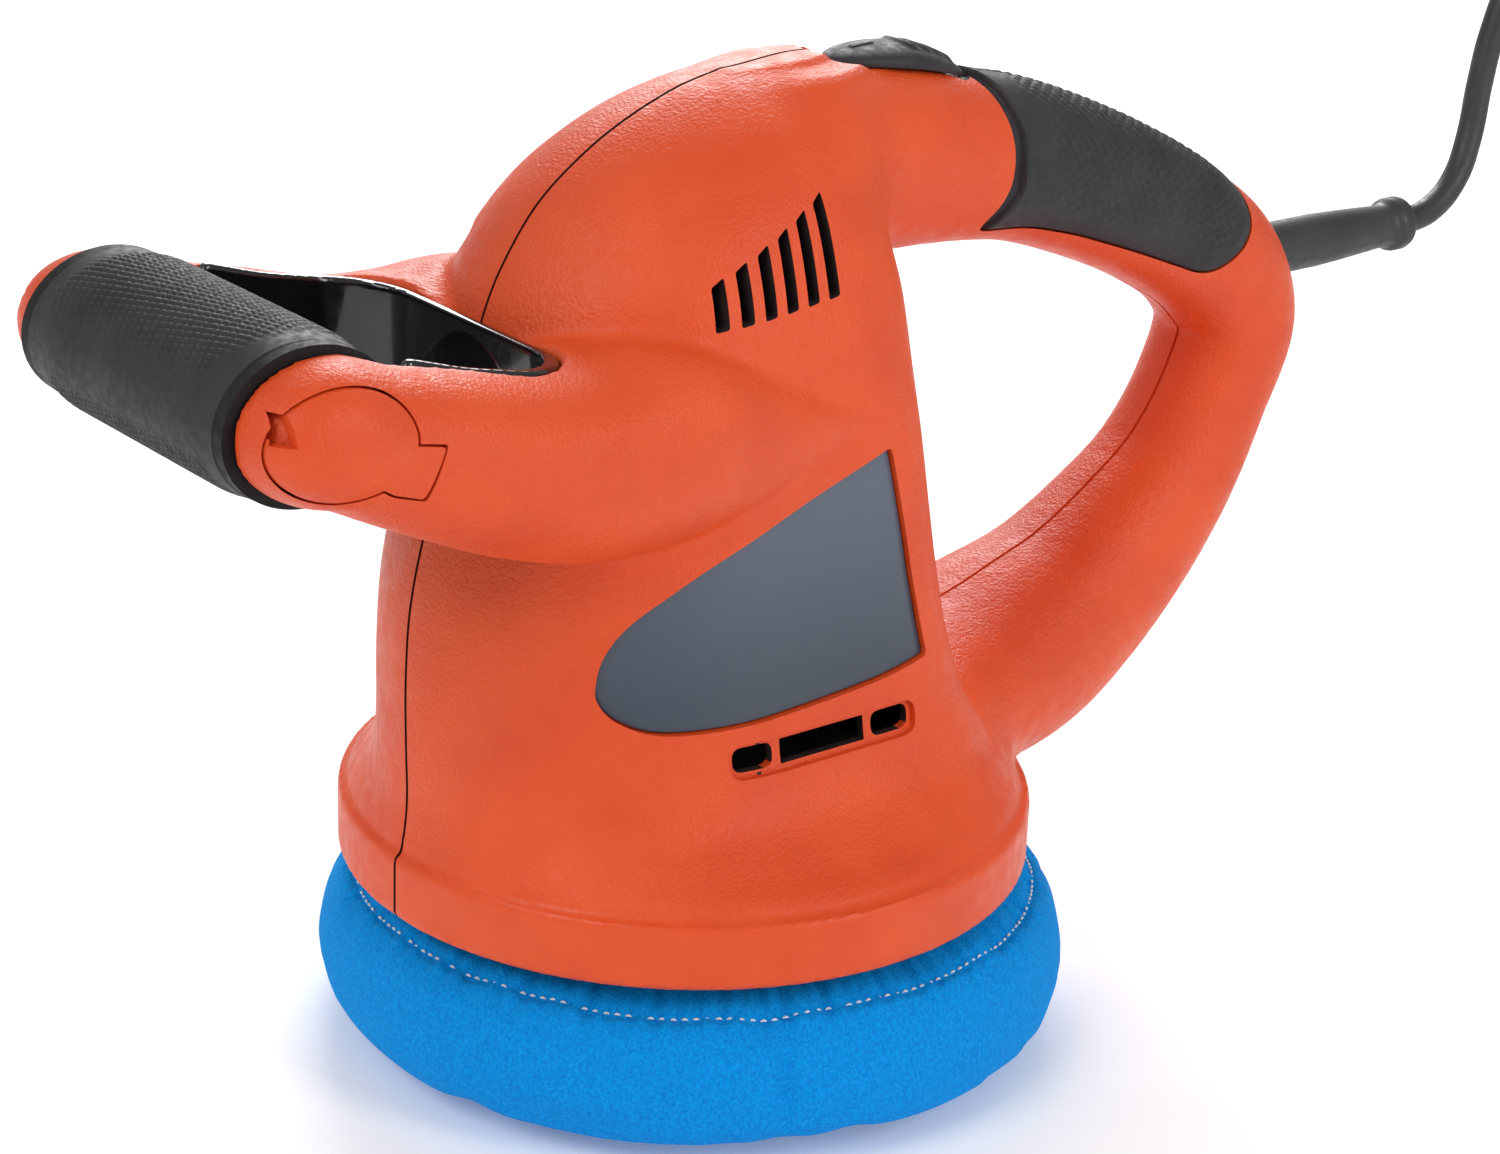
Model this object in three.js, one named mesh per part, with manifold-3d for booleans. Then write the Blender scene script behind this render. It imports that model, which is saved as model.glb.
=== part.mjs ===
// A random-orbit rotary polisher, in millimetres: +Z is up, the front grip points to -Y, and the
// origin is on the floor, at the centre of the bonnet's flat working face.
import * as THREE from "three";
import { mergeVertices } from "three/addons/utils/BufferGeometryUtils.js";
import Module from "manifold-3d";

const wasm = await Module();
wasm.setup();

// ---- Driving dimensions ----
const GAP = 0.3; // air between pieces that touch
const WALL = 3.2; // moulded housing wall
const SPLIT = 0.15; // half the gap between the two housing halves
const REACH = 300; // longer than any piece, for cutting tools

const SKIRT_RADIUS = 75;
const SKIRT_BOTTOM = 32;
const SKIRT_TOP = 46.2;

const ORBIT = 3.5; // the pad's axis stands this far behind the motor's
const DATUM = 8.5; // the machine's own heights start this far above the floor

const ARM_INNER = 37.5; // inner face of the front arms
const ARM_OUTER = 52; // outer face of the front arms at the grip
const GRIP_Y = -117.5;
const GRIP_Z = 158;
const GRIP_HALF_Y = 19;
const GRIP_HALF_Z = 16;

const RELIEF_Z = 138.7;
const CORD_EXIT_Z = RELIEF_Z + DATUM;
const CORD_RADIUS = 3.25;

// ---- Materials ----
const plastic = (color, roughness) => new THREE.MeshStandardMaterial({ color, roughness, metalness: 0 });
const metal = (color, roughness) => new THREE.MeshStandardMaterial({ color, roughness, metalness: 1 });
const ORANGE = plastic(0xde5830, 0.5);
const RUBBER = plastic(0x46464b, 0.75);
const BLACK_GLOSS = plastic(0x0d0d0f, 0.12);
const BLACK = plastic(0x1c1c1f, 0.5);
const SLATE = plastic(0x5a6472, 0.3);
const BLUE_CLOTH = plastic(0x0a86d6, 0.95);
const FOAM = plastic(0x3c3d40, 0.95);
const WHITE_PLASTIC = plastic(0xd8d8d2, 0.5);
const STEEL = metal(0xb8babd, 0.35);
const IRON = metal(0x6d6f73, 0.55);
const BRASS = metal(0xc9a45c, 0.35);
const COPPER = metal(0xb0653a, 0.4);
const CARBON = plastic(0x2a2a2c, 0.6);

// ---- Turning geometry into solids and back ----
function toSolid(geometry) {
  const bare = geometry.clone();
  bare.deleteAttribute("normal");
  bare.deleteAttribute("uv");
  const merged = mergeVertices(bare, 1e-4);
  const vertProperties = merged.attributes.position.array;
  const triVerts = new Uint32Array(merged.index.array);
  return new wasm.Manifold(new wasm.Mesh({ numProp: 3, vertProperties, triVerts }));
}

function toGeometry(solid) {
  const made = solid.getMesh();
  const geometry = new THREE.BufferGeometry();
  geometry.setAttribute("position", new THREE.BufferAttribute(made.vertProperties, 3));
  geometry.setIndex(new THREE.BufferAttribute(made.triVerts, 1));
  geometry.computeVertexNormals();
  return geometry;
}

const joined = (solids) => solids.reduce((whole, solid) => whole.add(solid));
const cutBy = (solid, tools) => tools.reduce((left, tool) => left.subtract(tool), solid);

// A box between two corners.
function box(low, high) {
  const size = high.map((value, i) => value - low[i]);
  const centre = high.map((value, i) => (value + low[i]) / 2);
  return toSolid(new THREE.BoxGeometry(...size).translate(...centre));
}

// A body turned about a line along Z through (x, y), from [radius, height] points.
function turned(profile, segments = 24, x = 0, y = 0) {
  const points = profile.map(([radius, height]) => new THREE.Vector2(radius, height));
  const geometry = new THREE.LatheGeometry(points, segments).rotateX(Math.PI / 2);
  return toSolid(geometry.translate(x, y, 0));
}

// A plain round bar along Z.
const rod = (radius, low, high, segments = 24, x = 0, y = 0) =>
  turned([[0, low], [radius, low], [radius, high], [0, high]], segments, x, y);

// A ring about Z.
const ring = (inner, outer, low, high, segments = 24, x = 0, y = 0) =>
  turned([[inner, low], [outer, low], [outer, high], [inner, high], [inner, low]], segments, x, y);

const alongX = (solid) => solid.rotate([0, 90, 0]);
const moved = (solid, x, y, z) => solid.translate([x, y, z]);

// A round bar along X from one x to another.
const crossRod = (radius, low, high, y, z, segments = 12) =>
  moved(alongX(rod(radius, low, high, segments)), 0, y, z);

// A prism along X whose outline is drawn in the side view, as [y, z] points or a Shape.
function sidePrism(outline, low, high) {
  const shape = outline.isShape
    ? outline
    : new THREE.Shape(outline.map(([y, z]) => new THREE.Vector2(y, z)));
  const settings = { depth: high - low, bevelEnabled: false, curveSegments: 6 };
  const geometry = new THREE.ExtrudeGeometry(shape, settings);
  const sideways = new THREE.Matrix4().makeBasis(
    new THREE.Vector3(0, 1, 0),
    new THREE.Vector3(0, 0, 1),
    new THREE.Vector3(1, 0, 0),
  );
  return toSolid(geometry.applyMatrix4(sideways).translate(low, 0, 0));
}

// A skin through closed rings of points, with a fan over each end.
function loft(rings) {
  const count = rings[0].length;
  const points = rings.flat();
  const centre = (ring) =>
    ring.reduce((sum, p) => sum.add(p), new THREE.Vector3()).divideScalar(ring.length);
  const first = points.push(centre(rings[0])) - 1;
  const last = points.push(centre(rings[rings.length - 1])) - 1;
  const faces = [];
  for (let i = 0; i < rings.length - 1; i++) {
    for (let j = 0; j < count; j++) {
      const a = i * count + j;
      const b = i * count + ((j + 1) % count);
      faces.push(a, b, b + count, a, b + count, a + count);
    }
  }
  const top = (rings.length - 1) * count;
  for (let j = 0; j < count; j++) {
    const next = (j + 1) % count;
    faces.push(next, j, first, top + j, top + next, last);
  }
  const geometry = new THREE.BufferGeometry().setFromPoints(points);
  const solid = toSolid(geometry.setIndex(faces));
  if (solid.volume() > 0) return solid;
  for (let i = 0; i < faces.length; i += 3) {
    [faces[i + 1], faces[i + 2]] = [faces[i + 2], faces[i + 1]];
  }
  return toSolid(geometry.setIndex(faces));
}

// The machine stands on the datum; the bonnet, its foam and the free cord are on the floor.
const group = new THREE.Group();
const machine = new THREE.Group();
machine.position.z = DATUM;
group.add(machine);

function addTo(parent, name, solid, material) {
  const mesh = new THREE.Mesh(toGeometry(solid), material);
  mesh.name = name;
  parent.add(mesh);
}

const add = (name, solid, material) => addTo(machine, name, solid, material);
const addOnFloor = (name, solid, material) => addTo(group, name, solid, material);

const mirrored = (solid) => solid.mirror([1, 0, 0]);

// ---- Housing shapes ----
// Level slices of the body, floor upwards: height, front, back, half width, squareness at the
// front and at the back (2 is an ellipse, more is squarer).
const BODY_SLICES = [
  [44, -73.6, 73.6, 73.6, 2, 2],
  [48, -73.2, 71.5, 71, 2, 2.1],
  [53, -72.4, 65, 63, 2, 2.6],
  [60, -72, 57, 54.5, 1.95, 3.6],
  [70, -72.3, 46.5, 50, 1.9, 6],
  [85, -72.4, 40, 48, 1.9, 7],
  [100, -71.4, 36.5, 47, 1.9, 7],
  [115, -68.2, 33.5, 46.5, 1.9, 7],
  [130, -63.5, 31, 45.5, 2, 7],
  [145, -58.5, 29.5, 44, 2, 6],
  [160, -54, 29, 41.5, 2, 5],
  [170, -49, 29, 38.5, 2, 4],
  [180, -41.5, 29.5, 34, 1.9, 3],
  [188, -31.5, 30, 28, 1.9, 2.6],
  [194, -21, 30, 22, 1.9, 2.4],
  [199, -8.5, 30, 14, 2, 2],
  [201.8, 3, 29, 6, 2, 2],
];
const BODY_SIDES = 28;
const DOME_START = 150; // above this the body rounds over, so a wall there also thins from the top
const BODY_TOP = 201.8;

function bodySlice([height, front, back, half, squareFront, squareBack], inset) {
  const shift = inset * Math.max(0, (height - DOME_START) / (BODY_TOP - DOME_START));
  const middle = (front + back) / 2;
  const points = [];
  for (let i = 0; i < BODY_SIDES; i++) {
    const angle = (2 * Math.PI * i) / BODY_SIDES;
    const [across, along] = [Math.cos(angle), Math.sin(angle)];
    const power = 2 / (along < 0 ? squareFront : squareBack);
    const depth = (back - front) / 2 - inset;
    const x = (half - inset) * Math.sign(across) * Math.abs(across) ** power;
    const y = middle + depth * Math.sign(along) * Math.abs(along) ** power;
    points.push(new THREE.Vector3(x, y, height - shift));
  }
  return points;
}

// The body, with its surface moved in by an inset, or out by a negative one.
const body = (inset) => loft(BODY_SLICES.map((slice) => bodySlice(slice, inset)));

// Stations of the rear handle, neck to skirt: y, z, half thickness, half width.
const HANDLE_STATIONS = [
  [22, 180, 20, 24],
  [45, 178.5, 20, 20.5],
  [66, 175.5, 18.4, 18],
  [85, 171.5, 17.4, 17.2],
  [108, 163, 16.8, 17],
  [130, 152.5, 16.2, 17],
  [148, 140.5, 16, 17],
  [156.5, 125, 15, 16.5],
  [150.5, 107, 14.4, 16],
  [140.5, 90, 15.8, 17],
  [127, 76.5, 18, 19],
  [110.5, 64.5, 19.8, 21.5],
  [94, 57, 21, 25],
  [76, 53, 19.5, 29],
  [56, 52, 17, 33],
];
const HANDLE_STEPS = 17;
const HANDLE_SIDES = 14;
const HANDLE_SQUARE = 2.3;

function rearHandle(inset) {
  const centres = HANDLE_STATIONS.map(([y, z]) => new THREE.Vector3(0, y, z));
  const sizes = HANDLE_STATIONS.map(([, , thick, wide]) => new THREE.Vector3(thick, wide, 0));
  const path = new THREE.CatmullRomCurve3(centres, false, "centripetal");
  const swell = new THREE.CatmullRomCurve3(sizes);
  const rings = [];
  for (let i = 0; i <= HANDLE_STEPS; i++) {
    const centre = path.getPoint(i / HANDLE_STEPS);
    const size = swell.getPoint(i / HANDLE_STEPS);
    const along = path.getTangent(i / HANDLE_STEPS);
    const outward = new THREE.Vector3(0, -along.z, along.y);
    const points = [];
    for (let j = 0; j < HANDLE_SIDES; j++) {
      const angle = (2 * Math.PI * j) / HANDLE_SIDES;
      const [across, up] = [Math.cos(angle), Math.sin(angle)];
      const power = 2 / HANDLE_SQUARE;
      const x = (size.y - inset) * Math.sign(across) * Math.abs(across) ** power;
      const rise = (size.x - inset) * Math.sign(up) * Math.abs(up) ** power;
      points.push(centre.clone().addScaledVector(outward, rise).add(new THREE.Vector3(x, 0, 0)));
    }
    rings.push(points);
  }
  return loft(rings);
}

// Stations of a front arm, root to grip: y, z, half height, outermost x.
const ARM_STATIONS = [
  [4, 139, 3, 45],
  [-6, 138.5, 10, 47.5],
  [-20, 138.5, 17, 50],
  [-36, 139.5, 20.5, 52.5],
  [-54, 139, 20.3, 53.5],
  [-72, 142, 18.5, 53.5],
  [-90, 148, 17, 53],
  [-106, 154.5, 16, 52.5],
  [-117, 158, 15.5, ARM_OUTER],
  [-126, 158.5, 12.5, 50.5],
  [-131.5, 159, 7.5, 47],
];
const ARM_ROOT_X = 30; // the arm's middle plane; the opening trims its inner side flat
const ARM_SIDES = 16;

function frontArm() {
  const rings = ARM_STATIONS.map(([y, z, halfHeight, outer]) => {
    const points = [];
    for (let j = 0; j < ARM_SIDES; j++) {
      const angle = (2 * Math.PI * j) / ARM_SIDES;
      const [across, up] = [Math.cos(angle), Math.sin(angle)];
      const x = ARM_ROOT_X + (outer - ARM_ROOT_X) * Math.sign(across) * Math.abs(across) ** 0.8;
      const rise = halfHeight * Math.sign(up) * Math.abs(up) ** 0.8;
      points.push(new THREE.Vector3(x, y, z + rise));
    }
    return points;
  });
  return loft(rings);
}

// The finger opening in plan: straight sides, a back with round corners, open towards the grip.
const OPENING_BACK = -55.5;
const OPENING_FRONT = -140;
const OPENING_CORNER = 14;

function openingPrism(halfWidth, back) {
  const shape = new THREE.Shape();
  shape.moveTo(-halfWidth, OPENING_FRONT);
  shape.lineTo(halfWidth, OPENING_FRONT);
  shape.lineTo(halfWidth, back - OPENING_CORNER);
  shape.absarc(halfWidth - OPENING_CORNER, back - OPENING_CORNER, OPENING_CORNER, 0, Math.PI / 2);
  shape.absarc(OPENING_CORNER - halfWidth, back - OPENING_CORNER, OPENING_CORNER, Math.PI / 2, Math.PI);
  shape.closePath();
  const settings = { depth: REACH, bevelEnabled: false, curveSegments: 6 };
  return toSolid(new THREE.ExtrudeGeometry(shape, settings));
}

// ---- Side-view outlines on the housing, as [y, z] ----
const BADGE_OUTLINE = [
  [-51.5, 91], [-51, 87.5], [-48, 83.7], [-41, 80.6], [-28.5, 80], [-9, 80.6], [12.5, 82.2],
  [26, 84.4], [21.5, 103], [15, 131.8], [-8.5, 124], [-28, 116], [-40, 108.5], [-46.5, 103], [-50.2, 97],
];
const GRIP_OUTLINE = [
  [56, 200], [67, 194], [70, 182], [69.5, 171], [62.5, 161.5], [79, 160.5], [93, 156.8],
  [112, 150], [133.5, 141.5], [143.5, 146.5], [148, 153.5], [146, 168], [151, 185], [100, 215],
];

// An outline moved in towards its middle by roughly a distance.
function shrunk(outline, distance) {
  const middle = outline.reduce(([y, z], p) => [y + p[0], z + p[1]], [0, 0]).map((s) => s / outline.length);
  return outline.map(([y, z]) => {
    const away = Math.hypot(y - middle[0], z - middle[1]);
    const scale = (away - distance) / away;
    return [middle[0] + (y - middle[0]) * scale, middle[1] + (z - middle[1]) * scale];
  });
}

// ---- Switch slide: an oval cap that moves on an arc about a line along X ----
const SLIDE_CENTRE_Y = 33;
const SLIDE_CENTRE_Z = 111;
const SLIDE_RADIUS = 88; // of the track floor
const SLIDE_ANGLE = (10.6 * Math.PI) / 180; // the cap's middle, measured back from straight up
const CAP_LENGTH = 37;
const CAP_WIDTH = 18;
const CAP_RISE = 4.9;
const SWITCH_TRAVEL = 5;
const STEM_ANGLE = 0.022; // half the stem's thickness, as an angle at the slide's centre

const slideY = (radius, angle) => SLIDE_CENTRE_Y + radius * Math.sin(angle);
const slideZ = (radius, angle) => SLIDE_CENTRE_Z + radius * Math.cos(angle);

// A sector of a ring about the slide's centre line, along X between two x values.
function slideSector(inner, outer, from, to, halfWidth) {
  const steps = 8;
  const outline = [];
  for (let i = 0; i <= steps; i++) {
    const angle = from + ((to - from) * i) / steps;
    outline.push([slideY(outer, angle), slideZ(outer, angle)]);
  }
  for (let i = steps; i >= 0; i--) {
    const angle = from + ((to - from) * i) / steps;
    outline.push([slideY(inner, angle), slideZ(inner, angle)]);
  }
  return sidePrism(outline.reverse(), -halfWidth, halfWidth);
}

// An oval dome standing on the slide's arc, tall enough to be cut below by a sector.
function capDome() {
  const rings = [];
  const steps = 6;
  for (let i = 0; i <= steps; i++) {
    const rise = i / steps;
    const spread = Math.sqrt(1 - rise ** 2.4 * 0.86);
    const points = [];
    for (let j = 0; j < 28; j++) {
      const angle = (2 * Math.PI * j) / 28;
      const along = ((CAP_LENGTH / 2) * spread * Math.sin(angle)) / SLIDE_RADIUS;
      const radius = SLIDE_RADIUS - 3 + (3 + CAP_RISE) * rise;
      const x = (CAP_WIDTH / 2) * spread * Math.cos(angle);
      const at = SLIDE_ANGLE + along;
      points.push(new THREE.Vector3(x, slideY(radius, at), slideZ(radius, at)));
    }
    rings.push(points);
  }
  return loft(rings);
}

function switchCap() {
  const reach = (CAP_LENGTH / 2 + 3) / SLIDE_RADIUS;
  const above = slideSector(
    SLIDE_RADIUS + 0.4, SLIDE_RADIUS + 12, SLIDE_ANGLE - reach, SLIDE_ANGLE + reach, CAP_WIDTH,
  );
  const stem = slideSector(
    SLIDE_RADIUS - 6, SLIDE_RADIUS + 1, SLIDE_ANGLE - STEM_ANGLE, SLIDE_ANGLE + STEM_ANGLE, 2,
  );
  return capDome().intersect(above).add(stem);
}

// Room for the cap's underside and, through the wall, for its stem.
function switchTrack() {
  const cap = (CAP_LENGTH / 2 + 0.6) / SLIDE_RADIUS;
  const travel = SWITCH_TRAVEL / SLIDE_RADIUS;
  const stem = STEM_ANGLE + 0.01;
  return joined([
    slideSector(SLIDE_RADIUS, SLIDE_RADIUS + 15, SLIDE_ANGLE - cap - travel, SLIDE_ANGLE + cap, 9.8),
    slideSector(SLIDE_RADIUS - 12, SLIDE_RADIUS + 1, SLIDE_ANGLE - stem - travel, SLIDE_ANGLE + stem, 2.6),
  ]);
}

// ---- Clamshell screws: [y, z] of each, driven from the left ----
const SCREW_PLACES = [[-61, 66], [-58, 104], [-40, 166], [155, 118], [128, 75], [88, 55], [20, 168]];
const SCREW_HEAD_X = -12;
const SCREW_TIP_X = 14;

function screwTools([y, z]) {
  return {
    leftBoss: crossRod(6, -60, -SPLIT, y, z),
    rightBoss: crossRod(4.6, SPLIT, 60, y, z),
    well: crossRod(4, -80, SCREW_HEAD_X, y, z),
    hole: crossRod(2.2, SCREW_HEAD_X - 1, SCREW_TIP_X + 1, y, z),
  };
}

const clamshellScrew = ([y, z]) =>
  moved(
    alongX(turned([
      [0, SCREW_HEAD_X - 3], [3.4, SCREW_HEAD_X - 3], [3.6, SCREW_HEAD_X - GAP],
      [1.8, SCREW_HEAD_X - GAP], [1.8, SCREW_TIP_X], [0, SCREW_TIP_X],
    ], 16)),
    0, y, z,
  );

// ---- Front arm caps and screws ----
const CAP_OVAL_Y = 14;
const CAP_OVAL_Z = 10.4;
const ARM_CAP_DEPTH = 2.6;

function ovalBar(halfY, halfZ, low, high, middleY) {
  const shape = new THREE.Shape();
  shape.absellipse(0, 0, halfY, halfZ, 0, 2 * Math.PI);
  const settings = { depth: high - low, bevelEnabled: false, curveSegments: 14 };
  const geometry = new THREE.ExtrudeGeometry(shape, settings);
  const sideways = new THREE.Matrix4().makeBasis(
    new THREE.Vector3(0, 1, 0),
    new THREE.Vector3(0, 0, 1),
    new THREE.Vector3(1, 0, 0),
  );
  return toSolid(geometry.applyMatrix4(sideways).translate(low, middleY, GRIP_Z));
}

const capTab = (grow, low, high) =>
  sidePrism([
    [GRIP_Y + 5, GRIP_Z - 8.5 - grow], [GRIP_Y + 15 + grow, GRIP_Z - 12.4 - grow],
    [GRIP_Y + 19.4 + grow, GRIP_Z - 3 + grow], [GRIP_Y + 10, GRIP_Z - 1.5 + grow],
  ], low, high);

const CAP_OVAL_MIDDLE = GRIP_Y - 0.5;

const armCap = () =>
  ovalBar(CAP_OVAL_Y, CAP_OVAL_Z, ARM_OUTER - ARM_CAP_DEPTH + GAP, ARM_OUTER - 0.6, CAP_OVAL_MIDDLE)
    .add(capTab(0, ARM_OUTER - ARM_CAP_DEPTH + GAP, ARM_OUTER - 0.6));

const armCapRecess = () =>
  ovalBar(CAP_OVAL_Y + GAP, CAP_OVAL_Z + GAP, ARM_OUTER - ARM_CAP_DEPTH, ARM_OUTER + 5, CAP_OVAL_MIDDLE)
    .add(capTab(GAP, ARM_OUTER - ARM_CAP_DEPTH, ARM_OUTER + 5));

const ARM_SCREW_HEAD_X = 45;
const armScrew = () =>
  moved(
    alongX(turned([
      [0, 22], [2, 22], [2, ARM_SCREW_HEAD_X + GAP], [4.4, ARM_SCREW_HEAD_X + GAP],
      [4.4, ARM_SCREW_HEAD_X + 3], [0, ARM_SCREW_HEAD_X + 3],
    ], 16)),
    0, GRIP_Y, GRIP_Z,
  );

function armBored() {
  const opening = openingPrism(ARM_INNER, OPENING_BACK);
  const tools = [
    opening,
    armCapRecess(),
    crossRod(4.9, ARM_SCREW_HEAD_X, ARM_OUTER, GRIP_Y, GRIP_Z),
    crossRod(2.4, ARM_INNER - 5, ARM_SCREW_HEAD_X + 1, GRIP_Y, GRIP_Z),
  ];
  return cutBy(frontArm(), tools);
}

// ---- Vents ----
const UPPER_VENTS = 6;
const VENT_PITCH = 5.4;
const VENT_WIDTH = 2.4;
const LOWER_VENTS = [[-25, -15.6], [-13.6, 8.5], [10.5, 20.5]]; // two ribs stand between them
const LOWER_VENT_Z = 70;
const LOWER_VENT_RISE = 5.2;

function ventTools() {
  const tools = [];
  for (let i = 0; i < UPPER_VENTS; i++) {
    const y = -26.5 + i * VENT_PITCH;
    const top = 170.5 + i * 2.5;
    const bottom = 161 + i * 0.6;
    const lean = 0.8;
    const outline = [
      [y, bottom], [y + VENT_WIDTH, bottom], [y + VENT_WIDTH + lean, top], [y + lean, top],
    ];
    tools.push(sidePrism(outline, 15, 60));
  }
  for (const [from, to] of LOWER_VENTS) {
    tools.push(box([25, from, LOWER_VENT_Z], [70, to, LOWER_VENT_Z + LOWER_VENT_RISE]));
  }
  return tools;
}

// ---- The two housing halves ----
const HANDLE_WALL = 5.4; // leaves the grip's thickness and a wall below it
const GRIP_THICK = 2.5;

const skirtBand = () =>
  rod(SKIRT_RADIUS, SKIRT_BOTTOM, SKIRT_TOP, 44);

function housingShell() {
  const handle = rearHandle(0);
  const outer = joined([body(0), skirtBand(), handle]);
  const inner = joined([body(WALL), rearHandle(HANDLE_WALL)]);
  const skirtRoom = rod(SKIRT_RADIUS - 2.5, SKIRT_BOTTOM - 1, 45, 44);
  const arms = armBored();
  return {
    outer,
    shell: cutBy(outer.add(arms).add(mirrored(arms)), [inner, skirtRoom]),
  };
}

function badgeRecess() {
  const prism = sidePrism(BADGE_OUTLINE, 20, 80);
  return prism.subtract(body(2));
}

function badgePanel() {
  const prism = sidePrism(shrunk(BADGE_OUTLINE, 0.9), 20, 80);
  return prism.intersect(body(0.7)).subtract(body(1.7));
}

function gripRecess() {
  const prism = sidePrism(GRIP_OUTLINE, -80, 80);
  return prism.subtract(rearHandle(GRIP_THICK + GAP)).subtract(body(0));
}

function rearGrip() {
  const prism = sidePrism(shrunk(GRIP_OUTLINE, 0.4), SPLIT, 80);
  return prism.intersect(rearHandle(0.05)).subtract(rearHandle(GRIP_THICK)).subtract(body(-0.4));
}

function housingHalf(left) {
  const { outer, shell } = housingShell();
  const sides = left ? [-REACH, -SPLIT] : [SPLIT, REACH];
  const side = box([sides[0], -REACH, 0], [sides[1], REACH, REACH]);
  const bosses = SCREW_PLACES.map((place) => screwTools(place)[left ? "leftBoss" : "rightBoss"]);
  const bossed = shell.add(joined(bosses).intersect(outer)).intersect(side);
  const vents = ventTools();
  const badge = badgeRecess();
  const tools = [
    ...(left ? [...vents.map(mirrored), mirrored(badge)] : [...vents, badge]),
    ...SCREW_PLACES.map((place) => screwTools(place).hole),
    gripRecess(),
    switchTrack(),
    reliefHole(),
  ];
  if (left) tools.push(...SCREW_PLACES.map((place) => screwTools(place).well));
  return cutBy(bossed, tools);
}

// ---- Front grip ----
const gripBar = (halfY, halfZ, halfLength) => ovalBar(halfY, halfZ, -halfLength, halfLength, GRIP_Y);

function frontGrip() {
  return gripBar(GRIP_HALF_Y, GRIP_HALF_Z, ARM_INNER - GAP).subtract(gripBar(14, 11, ARM_INNER + 1));
}

function gripCore() {
  const bar = gripBar(14 - GAP, 11 - GAP, ARM_INNER - GAP);
  const drilled = [-1, 1].map((side) => crossRod(2.3, side > 0 ? 20 : -40, side > 0 ? 40 : -20, GRIP_Y, GRIP_Z));
  return cutBy(bar, drilled);
}

// ---- Opening liner: a thin wall round the sides and back of the finger opening ----
const LINER_WALL = 2.3;
const LINER_SIDE_VIEW = [
  [-97.5, 134.5], [-84, 128], [-70, 123.5], [-40, 118], [-40, 156], [-57, 158.4], [-70, 160.2],
  [-83, 163], [-97.5, 167.5],
];

function openingLiner() {
  const region = openingPrism(ARM_INNER - GAP, OPENING_BACK - GAP).subtract(body(-GAP));
  const finger = openingPrism(ARM_INNER - GAP - LINER_WALL, OPENING_BACK - GAP - LINER_WALL)
    .subtract(body(-GAP - LINER_WALL));
  return region.subtract(finger).intersect(sidePrism(LINER_SIDE_VIEW, -60, 60));
}

// ---- Cord, its strain relief and clamp ----
const RELIEF_END = 215;
const RELIEF_START = 142; // the cord's jacket, inside the handle
const alongY = (solid) => solid.rotate([-90, 0, 0]);

const reliefHole = () => moved(alongY(rod(6.7, 153, 190, 24)), 0, 0, RELIEF_Z);

const strainRelief = () =>
  moved(
    alongY(turned([
      [0, RELIEF_START], [CORD_RADIUS, RELIEF_START], [CORD_RADIUS, 149.5], [7.2, 149.5],
      [7.2, 152.5], [6.3, 152.5], [6.3, 184], [5.7, 198], [5.1, 209],
      [6.5, 210.5], [6.5, RELIEF_END - 1], [5.4, RELIEF_END], [0, RELIEF_END],
    ], 20)),
    0, 0, RELIEF_Z,
  );

// The free cord's route, out of the strain relief, up, over and down to the floor by the coil.
const CORD_ROUTE = [
  [0, RELIEF_END + GAP, CORD_EXIT_Z], [0, 218, CORD_EXIT_Z], [-0.3, 227.4, 149.2], [-1.2, 235.8, 155.4],
  [-2.4, 240.7, 164.5], [-3.3, 243.6, 177.5], [-3.4, 246.6, 190.5], [-2.8, 251.6, 202.5],
  [-1, 260.5, 211.1], [2, 272, 214.1], [5.6, 283.4, 211.1], [9.4, 292.4, 202.9], [13.2, 298.7, 191],
  [18, 305, 168], [22.5, 309.8, 142], [27, 314, 116], [31.2, 318.4, 90], [35.6, 323.8, 65],
  [40.4, 331.6, 42.5], [46, 341.8, 24.5], [51.6, 352.2, 12.2], [57.2, 361, 5.6], [63.2, 369.4, 3.5],
];
const CORD_STEPS = 30;
const COIL_CENTRE = [98, 345];
const COIL_RADIUS = 36; // middle of the bundle of turns
const COIL_HALF_WIDTH = 10.2;
const COIL_HEIGHT = 13.4;
const COIL_BOTTOM = 0.1;

function cordAlong(route, steps) {
  const points = route.map((p) => new THREE.Vector3(...p));
  const path = new THREE.CatmullRomCurve3(points, false, "centripetal");
  const section = new THREE.Shape();
  const sides = 8;
  for (let i = 0; i < sides; i++) {
    const angle = (2 * Math.PI * i) / sides;
    const at = [CORD_RADIUS * Math.cos(angle), CORD_RADIUS * Math.sin(angle)];
    if (i) section.lineTo(...at);
    else section.moveTo(...at);
  }
  section.closePath();
  const settings = { steps, bevelEnabled: false, extrudePath: path };
  return toSolid(new THREE.ExtrudeGeometry(section, settings));
}

const cordCoil = (grow) =>
  ring(
    COIL_RADIUS - COIL_HALF_WIDTH - grow, COIL_RADIUS + COIL_HALF_WIDTH + grow,
    COIL_BOTTOM - grow, COIL_HEIGHT + grow, 32, ...COIL_CENTRE,
  );

// The tail leaves the coil's outer turn along its tangent, level, and ends in the plug.
const TAIL_ANGLE = Math.PI / 9;
const TAIL_LENGTH = 34;
const TAIL_TURN_RADIUS = COIL_RADIUS + 2 * CORD_RADIUS;
const PLUG_AXIS_Z = 9.5;

function tailPoint(distance) {
  const x = COIL_CENTRE[0] + TAIL_TURN_RADIUS * Math.cos(TAIL_ANGLE) + distance * Math.sin(TAIL_ANGLE);
  const y = COIL_CENTRE[1] + TAIL_TURN_RADIUS * Math.sin(TAIL_ANGLE) - distance * Math.cos(TAIL_ANGLE);
  return [x, y, PLUG_AXIS_Z];
}

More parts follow.
